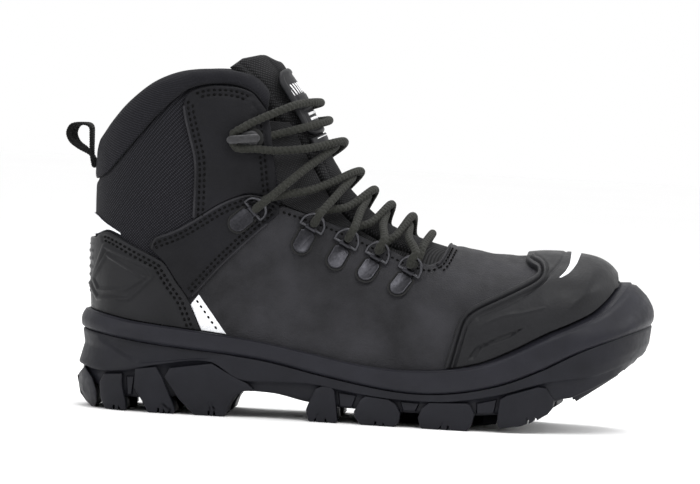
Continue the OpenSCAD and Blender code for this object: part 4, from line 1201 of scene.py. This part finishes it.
def collar():
    prof = spline(np.vstack([COLLAR_RING, COLLAR_RING[:1]]), 3)[:-1]
    u = np.sin(np.linspace(0, math.pi / 2, 150))
    u = np.unique(np.concatenate([[0, 0.002, 0.006, 0.012, 0.02], u[u > 0.025]]))
    low, high = at_fr(spline(COLLAR_SEAM, 8), u), at_fr(spline(COLLAR_TOP, 8), u)
    v, t = prof[:, :1, None].transpose(1, 0, 2), prof[:, 1]
    q = low[:, None] * (1 - v) + high[:, None] * v
    back_at = back_x(q[-1, :, 1])
    q[..., 0] += (u ** 6)[:, None] * (back_at - q[-1, :, 0])[None]
    end = rolled(u * 120, 3.0)  # rounded front end
    slim = 1 - 0.42 * np.clip((0.34 - u) / 0.2, 0, 1)  # thinner over the eyestay's top
    mid = -4.0  # the middle of the pad's thickness
    out = mid + (t[None] - mid) * (0.35 + 0.65 * end)[:, None] * np.where(t > mid, slim[:, None], 1)
    wrinkle = 0.55 * noise(np.stack([q[..., 0] * 0.7, q[..., 1]], -1), 11, 41) + 0.25 * noise(q, 4.5, 42)
    out = out - np.clip(out - 0.4, 0, 9) * 0.75 * (u ** 5)[:, None]
    out = out + wrinkle * np.clip((t - 0.5) / 2, 0, 1)[None]
    g = skin(q, out)
    g[-1, :, 1] = 0
    G = both_sides(g.swapaxes(0, 1)).swapaxes(0, 1)
    uv = np.stack(np.meshgrid(lengths(G[:, 20]), lengths(G[len(G) // 3]), indexing="ij"), -1)
    o = make("collar_pad", *rings_solid(G), "collar_cloth", "boot", "collar_textile", ["collar"], uv)
    # sewn seam under the pad
    for side in SIDES:
        bead(f"collar_seam_{side}", (spline(COLLAR_SEAM, 2) + [0, 0.3])[1:-1], side, 0.1, 0.6,
             "cordura", "collar_textile", 1.2)


TONGUE_EDGE = [[32, 92], [18, 97], [2, 105], [-11, 117], [-22, 134], [-31, 150], [-40, 163],
               [-52, 176], [-66, 186.5]]


def tongue():
    first, last = spline(TONGUE_EDGE, 6), R_FINE[85:166]
    low = [first[0], last[0]]
    high = [first[-1], [-60, 191.5], [-52, 193.6], last[-1]]
    u = np.sin(np.linspace(0, math.pi / 2, 46))
    v = fr(118, 1.0)
    q = fill(low, high, first, last, u, v)
    W = v[:, None]
    m_frac = np.arcsin(u) / (math.pi / 2)
    wing = (1 - m_frac[None]) ** 1.5 * np.clip((W - 0.5) / 0.3, 0, 1)
    du, dv = grid_runs(lay(q, -2, -1))
    round_off = 1 - rolled(np.minimum(np.minimum(du, dv), dv[-1:] - dv), 3.4)
    folds = 0.4 * noise(np.stack([q[..., 0] * 0.5 + q[..., 1], q[..., 1] * 0.2], -1), 4.5, 61) \
        + 0.3 * noise(q, 9, 62)
    channel = -1.1 * np.exp(-((du - 5.4) / 0.9) ** 2) * np.clip((W - 0.35) / 0.15, 0, 1)
    clear = np.clip((du - 12) / 4, 0, 1) * np.clip((q[..., 1] - 146) / 6, 0, 1)
    hi = -2 - 8.5 * wing + (folds * 0.8 + channel) * (1 - clear) - 2.6 * round_off
    lo = -9 - 8.5 * wing + 3 * wing + 2.6 * round_off
    outer, inner = skin(q, hi), skin(q, np.minimum(lo, hi - 0.4))
    outer[:, -1, 1] = inner[:, -1, 1] = 0
    uv = mirrored_uv(np.stack([du - du[:, -1:], dv], -1))
    V, F = between(both_sides(outer), both_sides(inner))
    o = make("tongue_pad", V, F, "tongue_cloth", "tongue_flap", "black_textile", ["tongue"],
             np.array([uv, uv]))


def tongue_foot():
    """the tongue's sewn foot, which runs on under the vamp"""
    line = ridge_run(29, 54)
    panel("tongue_foot_fold", [[33, 79], [31, 86], line[0]], [[54, 79], [54, 86], line[-1]],
          [[33, 79], [54, 79]], line, -3.9, -2.0, 0, "tongue_cloth", "black_textile", (), 1.2,
          height=lambda q: 0.3 * noise(q, 6, 65), edges=(False, False, False, False))


def ridge_at_z(z):
    part = R_FINE[80:]  # over the instep and up
    return np.stack([np.interp(z, part[:, 1], part[:, 0]), z * np.ones_like(np.asarray(z, float))], -1)


LABEL_LOW, LABEL_TOP = 151.5, 184.0


def on_ridge(a, z, t, deep):
    """points of the tongue's front: a from -1, lateral, to 1, at height z, t out. deep is how far
    the front's curve has gone back at a = 1"""
    a, z = np.broadcast_arrays(np.asarray(a, float), np.asarray(z, float))
    q = ridge_at_z(z) + np.stack([-deep * a ** 2, -0.55 * deep * a ** 2], -1)
    p = skin(q, t)
    y = np.where(np.abs(a) < 1e-6, 0, p[..., 1])
    return np.stack([p[..., 0], sweep_y(p[..., 0]) + np.sign(a) * y, p[..., 2]], -1)


def patch(outline_a, z0, z1, t0, t1, deep, cols=24, rows=8):
    """slab on the tongue's front between outline_a = (left, right) as functions of z or numbers"""
    z = np.linspace(z0, z1, rows)
    left, right = (np.array([a(h) if callable(a) else a for h in z]) for a in outline_a)
    f = np.linspace(0, 1, cols)
    A = left[:, None] + (right - left)[:, None] * f
    Z = z[:, None] * np.ones(cols)
    row = np.arange(rows)
    edge = np.minimum(np.minimum(f, 1 - f)[None] * cols, np.minimum(row, rows - 1 - row)[:, None])
    top = t1 - 0.25 * (edge < 0.5)
    return between(on_ridge(A, Z, top, deep), on_ridge(A, Z, t0, deep))


def label():
    z = np.linspace(LABEL_LOW, LABEL_TOP, 90)
    a = np.linspace(-1, 1, 81)
    A, Z = np.meshgrid(a, z)
    deep = 7 - (Z - LABEL_LOW) / (LABEL_TOP - LABEL_LOW)
    half, corner = 15.0, 6.5
    dz = np.minimum(Z - LABEL_LOW, LABEL_TOP - Z)
    near = corner - np.minimum(dz, corner)
    A = A * (1 - (corner - np.sqrt(corner ** 2 - near ** 2)) / half)  # rounded corners
    dx = half * (np.abs(A).max(1, keepdims=True) - np.abs(A))
    D = np.minimum(dx, dz)
    rim = np.clip(1 - ((D - 1.6) / 1.3) ** 2, 0, 1) ** 0.5 * (D > 0)
    plate = (Z > 164) & (Z < 171) & (dx > 4.4)
    slots = np.maximum(np.sin((Z - 153.2) / 1.25 * math.pi), 0) * (Z < 163) * (dx > 5)
    t = -1.2 + 0.75 * rim + 0.45 * plate - 0.1 * slots
    V, F = between(on_ridge(A, Z, t, deep), on_ridge(A, Z, -2.2, deep))
    make("tongue_label_plate", V, F, "label_rubber", "tongue_flap", "label_rubber", ["tongue_label"])
    bars = [patch((-0.62, 0.62), 153.4 + 2.5 * i, 154.7 + 2.5 * i, -1.5, -0.85, 6.6, rows=5)
            for i in range(4)]
    for k in range(11):  # stripes that fan out from the top block
        turn = -0.78 + 0.14 * k
        ends = [lambda h, w=w: turn + w + (h - 172) * 0.012 * (turn - 0.2) for w in (-0.028, 0.028)]
        bars.append(patch(ends, 171.8, 177, -1.5, -0.9, 6.4, 4, 6))
    V, F = join_parts(bars)
    make("tongue_label_print", V, F, "white_print", "tongue_flap", "white_print", ["label_bars"])
    strap = patch((-1, 1), 145.8, 150.8, -2.1, -0.6, 6.2, 60, 12)
    make("lace_keeper_strap", *strap, "label_rubber", "tongue_flap", "black_textile", ["lace_keeper"])
    edge = patch((-0.8, 0.8), 149.2, 149.9, -1.2, -0.45, 6.2, 40, 4)
    make("keeper_print", *edge, "white_print", "tongue_flap", "white_print")


def gussets():
    for side, word in NAMED_SIDES:
        inner = spline([[33, 90.2], [17, 94.5], [1, 102.5], [-12.5, 115], [-24, 132.5], [-33, 148.5],
                        [-38, 156]], 6)
        outer = spline([[35.5, 86], [28, 87.6], [12, 94.1], [-4, 100.6], [-22, 107.1], [-35.7, 111.1],
                        [-40.7, 114.7], [-43.7, 128], [-46.7, 143], [-49.3, 156]], 6)

        def height(q):
            return 0.5 * noise(q * [1, 0.5], 5, 71)
        o = panel(f"gusset_{word}_fold", outer, inner, [outer[0], inner[0]], [outer[-1], inner[-1]],
                  -3.4, -2.5, side, "tongue_cloth", "black_textile", [f"gusset_{word}"], 1.6, 0.4,
                  height=height, body=None)
        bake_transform(o)


vamp()
quarters()
rear()
stays_and_bands()
heel()
toe()
collar()
tongue()
tongue_foot()
label()
gussets()


# ---- D-rings' clips, hooks, lace and loop ----------------------------------------------------
# each ring's bar from the top: x, z and the turn of its clip in degrees
BARS = [[-55.4, 108.2, 43], [-25, 100.2, 63], [-6.8, 92.4, 63], [9.8, 86, 63], [27.5, 79.5, 63]]


def frame_of(e, n, p):
    """axes with X near e and Z along n, and the origin p"""
    x = unit(np.asarray(e) - np.dot(e, n) * n)
    return np.stack([x, np.cross(n, x), n], -1), p


def on_upper(x, z, side, t=0.0):
    return lay(np.array([x, z]), t, side)


def normal_at(x, z, side):
    return unit(on_upper(x, z, side, 1) - on_upper(x, z, side, 0))


def bar_frame(i, side):
    x, z, turn = BARS[i]
    n = normal_at(x, z, side)
    e = np.array([math.cos(math.radians(turn)), 0, math.sin(math.radians(turn))])
    return frame_of(e, n, on_upper(x, z, side, 1.8 if i == 0 else 0) + BAR_HIGH * n)


def hook_frame(side):
    n = normal_at(-68.8, 144.4, side)
    return frame_of(np.array([1, 0, 0.12]), n, on_upper(-68.8, 144.4, side, 1.8) + 0.5 * n)


def place(f, p):
    """points given in the axes f, in the boot's own"""
    return np.asarray(p, float) @ f[0].T + f[1]


def dome(outline, layers):
    """closed solid from an outline in X, Y and layers of (inset, height)"""
    return rings_solid([np.c_[shrink(outline, d), np.full(len(outline), z)] for d, z in layers])


def stadium(x0, x1, r0, r1, n=10):
    """outline from a round end of radius r0 at x0 to a round or square end at x1"""
    a = np.linspace(math.pi / 2, 1.5 * math.pi, n)
    b = np.linspace(-math.pi / 2, math.pi / 2, n)
    return np.concatenate([np.stack([x0 + r0 * np.cos(a), r0 * np.sin(a)], -1),
                           np.stack([x1 + r1 * np.cos(b), r1 * np.sin(b)], -1)])


def tab(r, rest):
    """a clip's outline: a round end of radius r and the points rest"""
    a = np.linspace(math.pi / 2, 1.5 * math.pi, 15)
    return np.concatenate([np.stack([-10 + r * np.cos(a), r * np.sin(a)], -1), rest])


def clip_parts():
    foot = 0.35 - BAR_HIGH
    plate = tab(4.5, [[-6, -4.5], [-3.4, -4.5], [-2.6, -4.1], [-2.2, -3.2], [-1.4, -3], [0, -3],
                      [0, 3], [-1.4, 3], [-2.2, 3.2], [-2.6, 4.1], [-3.4, 4.5], [-6, 4.5]])
    body = dome(plate, [(0, foot), (0, foot + 0.45), (0.12, foot + 0.72), (0.4, foot + 0.9),
                        (0.8, foot + 0.92), (1.1, foot + 0.8)])
    # curled barrel round the ring's bar
    t = np.radians(np.linspace(-110, 200, 22))
    ys = np.array([-3, -2.85, -1, 1, 2.85, 3])
    rr = np.array([1.5, 1.65, 1.65, 1.65, 1.65, 1.5])
    outer = np.stack([rr[:, None] * np.cos(t), ys[:, None] * np.ones(len(t)), rr[:, None] * np.sin(t)], -1)
    inner = np.stack([0.86 * np.cos(t)[None] * np.ones(6)[:, None], ys[:, None] * np.ones(len(t)),
                      0.86 * np.sin(t)[None] * np.ones(6)[:, None]], -1)
    barrel = between(outer, inner)
    return body, barrel


def clips():
    body, barrel = clip_parts()
    # a dark pad a little larger than each clip's plate, under it: painted shade round the plate's rim
    under = dome(tab(5.5, [[-2.2, -5.4], [-1.6, -4.4], [-1.6, 4.4], [-2.2, 5.4]]),
                 [(0, -1.96), (0, -1.75), (0.2, -1.66), (0.5, -1.64)])
    for side, word in NAMED_SIDES:
        metal_parts, pads = [], []
        for i in range(5):
            f = bar_frame(i, side)
            metal_parts += [(place(f, v), fc) for v, fc in (body, barrel)]
            pads.append((place(f, under[0]), under[1]))
        V, F = join_parts(metal_parts)
        sharpen(make(f"clips_{word}_metal", V, F, "clip_metal", slot="gunmetal",
                     replaces=[f"ring_clips_{word}"]), 40)
        make(f"clips_{word}_painted_shade_pad", *join_parts(pads), "hole", slot="overlay_leather")


def band_strip(path, half, thick, across, ribs=0.0, pitch=1.0, closed=False):
    """flat strip with rounded edges along an X, Z path, width along Y"""
    p = np.asarray(path, float)
    tan = unit(np.roll(p, -1, 0) - np.roll(p, 1, 0)) if closed else unit(np.gradient(p, axis=0))
    n = np.stack([-tan[:, 1], tan[:, 0]], -1)
    ang = np.linspace(0, 2 * math.pi, across * 2, endpoint=False)
    c, s = np.cos(ang), np.sin(ang)
    yy = np.sign(c) * np.abs(c) ** 0.35
    zz = np.sign(s) * np.abs(s) ** 0.6
    L = lengths(p)
    half = np.asarray(half, float) * np.ones(len(p))
    th = np.asarray(thick, float) * np.ones(len(p)) / 2 + ribs * np.sin(L / pitch * 2 * math.pi)
    off = th[:, None] * zz[None]
    V = np.stack([p[:, :1] + n[:, :1] * off, half[:, None] * yy[None], p[:, 1:] + n[:, 1:] * off], -1)
    uv = np.stack(np.broadcast_arrays(L[:, None], half[:, None] * yy[None] + 2 * zz[None]), -1)
    return *rings_solid(V, closed), uv


def hooks():
    # arm with a free rear end, a neck under it and a base plate with a dark surround of painted shade round
    # the base
    s = np.linspace(0.1, math.pi / 2, 9)
    xs = np.concatenate([-2.4 + 2.2 * (1 - np.cos(s)), np.linspace(0.8, 12, 8),
                         15 - 2.2 * (1 - np.cos(s[::-1]))])
    half = np.concatenate([2.2 * np.sin(s), np.full(8, 2.2), 2.2 * np.sin(s[::-1])])
    arm = band_strip(np.stack([xs, 6.75 - 0.012 * (xs - 5) ** 2], -1), half, 1.3, 8)
    neck = band_strip([[4.8, 0.2], [4.8, 1.5], [4.7, 3], [4.7, 5], [4.8, 6.5]],
                      [2.8, 2.3, 2.1, 2.1, 2.3], 2.0, 8)
    V, F = join_parts([arm[:2], neck[:2]])
    disc = dome(stadium(7.5, 10.5, 4.6, 4.6, 14),
                [(0, -0.45), (0, 0.3), (0.2, 0.6), (0.7, 0.85), (2, 0.95)])
    rim = dome(stadium(7, 11.5, 5.8, 5.8, 14), [(0, -0.48), (0, -0.2), (0.3, 0.1), (0.8, 0.15)])
    for side, word in NAMED_SIDES:
        f = hook_frame(side)
        v, fc = join_parts([(place(f, V), F), (place(f, disc[0]), disc[1])])
        make(f"hook_{word}_metal", v, fc, "hook_metal", slot="gunmetal", replaces=[f"hook_{word}"])
        make(f"hook_{word}_painted_shade_pad", place(f, rim[0]), rim[1], "hole", slot="upper_leather")


# where the lace crosses itself on the tongue, from the toe end
CROSS = [[37, 98], [24.5, 102], [11.5, 108.4], [1, 116.6], [-8, 127], [-17.5, 143]]


def over_ridge(p, out):
    """point on the boot's middle line"""
    q = skin(np.array(p, float), out)
    return np.array([q[0], sweep_y(q[0]), q[2]])


def through_ring(i, side):
    """the lace's way through a ring, in the axes of its bar"""
    return place(bar_frame(i, side), [[10, 0, 1.2], [5.6, 0, 0.5], [3.6, 0, 2.8], [1.5, 0, 5.6],
                                      [2.8, 0, 8.9], [6.8, 0, 9.9]])


def round_hook(side):
    s = -side
    return place(hook_frame(side), [[10, -5.2 * s, 3.3], [4.8, -5 * s, 3.4], [1.6, -3.4 * s, 3.4],
                                    [0.9, 0, 3.4], [1.6, 3.4 * s, 3.4], [5, 5.2 * s, 3.9]])


def beside(i, cross_at, side, out):
    """point of the lace between a ring and a crossing"""
    b = np.array(BARS[i][:2], float)
    p = b + 0.62 * (np.array(cross_at, float) - b)
    return on_upper(p[0], p[1], side, out)


def tail(side):
    """the lace's way from a hook over the label to the other side, where it is tucked in"""
    q = (-28.2, 164) if side < 0 else (-23.3, 155)
    return [on_upper(-60, 153, side, 5), on_upper(-50, 158, side, 5), on_upper(-38, q[1] - 1, side, 4.5),
            over_ridge(q, 4), on_upper(q[0] - 9, q[1] - 3, -side, 3.4), on_upper(-50, q[1] - 8, -side, -0.4)]


def lace_half(side, out):
    """the lace from its lowest crossing to its end, first over the tongue by out"""
    pts = []
    for k in range(5):
        s = side if k % 2 == 0 else -side
        h = out if k % 2 == 0 else 9 - out
        pts += [beside(4 - k, CROSS[k], s, 3.7), *through_ring(4 - k, s), beside(4 - k, CROSS[k + 1], s, 5),
                over_ridge(CROSS[k + 1], h)]
    return pts + [on_upper(-31, 141, -side, 4.5), on_upper(-46, 139.5, -side, 4.7), *round_hook(-side),
                  *tail(-side)]


def glide(p, step):
    """smooth line of points through the points p, about step apart"""
    m, out = len(p) - 1, []
    for i in range(m):
        b, c = p[i], p[i + 1]
        h = np.linalg.norm(c - b)
        n = max(2, math.ceil(h / step))
        u, v = h * unit(c - p[max(i - 1, 0)]), h * unit(p[min(i + 2, m)] - b)
        t = (np.arange(n) / n)[:, None]
        out.append((2 * t ** 3 - 3 * t ** 2 + 1) * b + (t ** 3 - 2 * t ** 2 + t) * u
                   + (3 * t ** 2 - 2 * t ** 3) * c + (t ** 3 - t ** 2) * v)
    return np.concatenate(out + [p[m:m + 1]])


def lace():
    route = np.array(lace_half(1, 7)[::-1] + [over_ridge(CROSS[0], 2)] + lace_half(-1, 2))
    fine = at_fr(glide(route, 2), np.linspace(0, 1, 4200))

    def braid(a, d):
        k = 2 * math.pi * d / 8.4
        one, two = np.cos(3 * a + 3 * k), np.cos(3 * a - 3 * k)
        return 0.93 + 0.14 * np.maximum(one, two)
    make("lace_braid", *sweep(fine, 2.05, 20, braid), "lace_cord", slot="lace_cord", replaces=["lace"])


def loop():
    outer = spline([[-142.4, 126], [-145, 131.5], [-149.5, 134.6], [-154.6, 138.3], [-156.7, 143.5],
                    [-154.3, 148.5], [-148, 149.4], [-144.6, 147.3], [-144, 142], [-143.6, 133],
                    [-142.4, 126]], 8)[:-1]
    c = outer.mean(0)
    p = at_fr(closed_line(outer), np.linspace(0, 1, 241))[:-1]
    tan = unit(np.roll(p, -1, 0) - np.roll(p, 1, 0))
    p = p + 0.85 * np.stack([tan[:, 1], -tan[:, 0]], -1) * np.sign(np.cross(tan, c - p).mean()) * -1
    V, F, uv = band_strip(p, 7.0, 1.5, 12, 0.1, 1.2, closed=True)
    V[:, 0] += 0.3 * V[:, 1] * np.clip((-144 - V[:, 0]) / 6, 0, 1)  # hangs with a slight twist
    V = V + [0, MID_Y, 0]
    make("pull_loop_webbing", V, F, "webbing", "heel_loop", "black_textile", ["pull_loop"], uv)


metal("clip_metal", (0.032, 0.032, 0.036), 0.33)
metal("hook_metal", (0.05, 0.05, 0.052), 0.42)
clips()
hooks()
lace()
loop()


# ---- floor ------------------------------------------------------------------------------
def floor():
    me = bpy.data.meshes.new("floor")
    me.from_pydata([(-6, -6, 0), (6, -6, 0), (6, 6, 0), (-6, 6, 0)], [], [(0, 1, 2, 3)])
    t = Tree("floor_paper", (0.9, 0.9, 0.9), 0.9)
    t.link(t.ramp(t.noise(3, 2), (0.985, 0.985, 0.985), (0.995, 0.995, 0.995)), t.color)
    me.materials.append(MATS["floor_paper"])
    o = bpy.data.objects.new("floor", me)
    bpy.context.scene.collection.objects.link(o)


floor()
for node, mat in (("shank", "steel"), ("steel_toe_cap", "steel"), ("heel_counter", "counter_plastic"),
                  ("insole_board", "board"),
                  *[(f"ring_{s}_{i}", "gunmetal") for s in ("lateral", "medial") for i in range(1, 6)]):
    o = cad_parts[node]
    o.data.materials.clear()
    o.data.materials.append(MATS[mat])
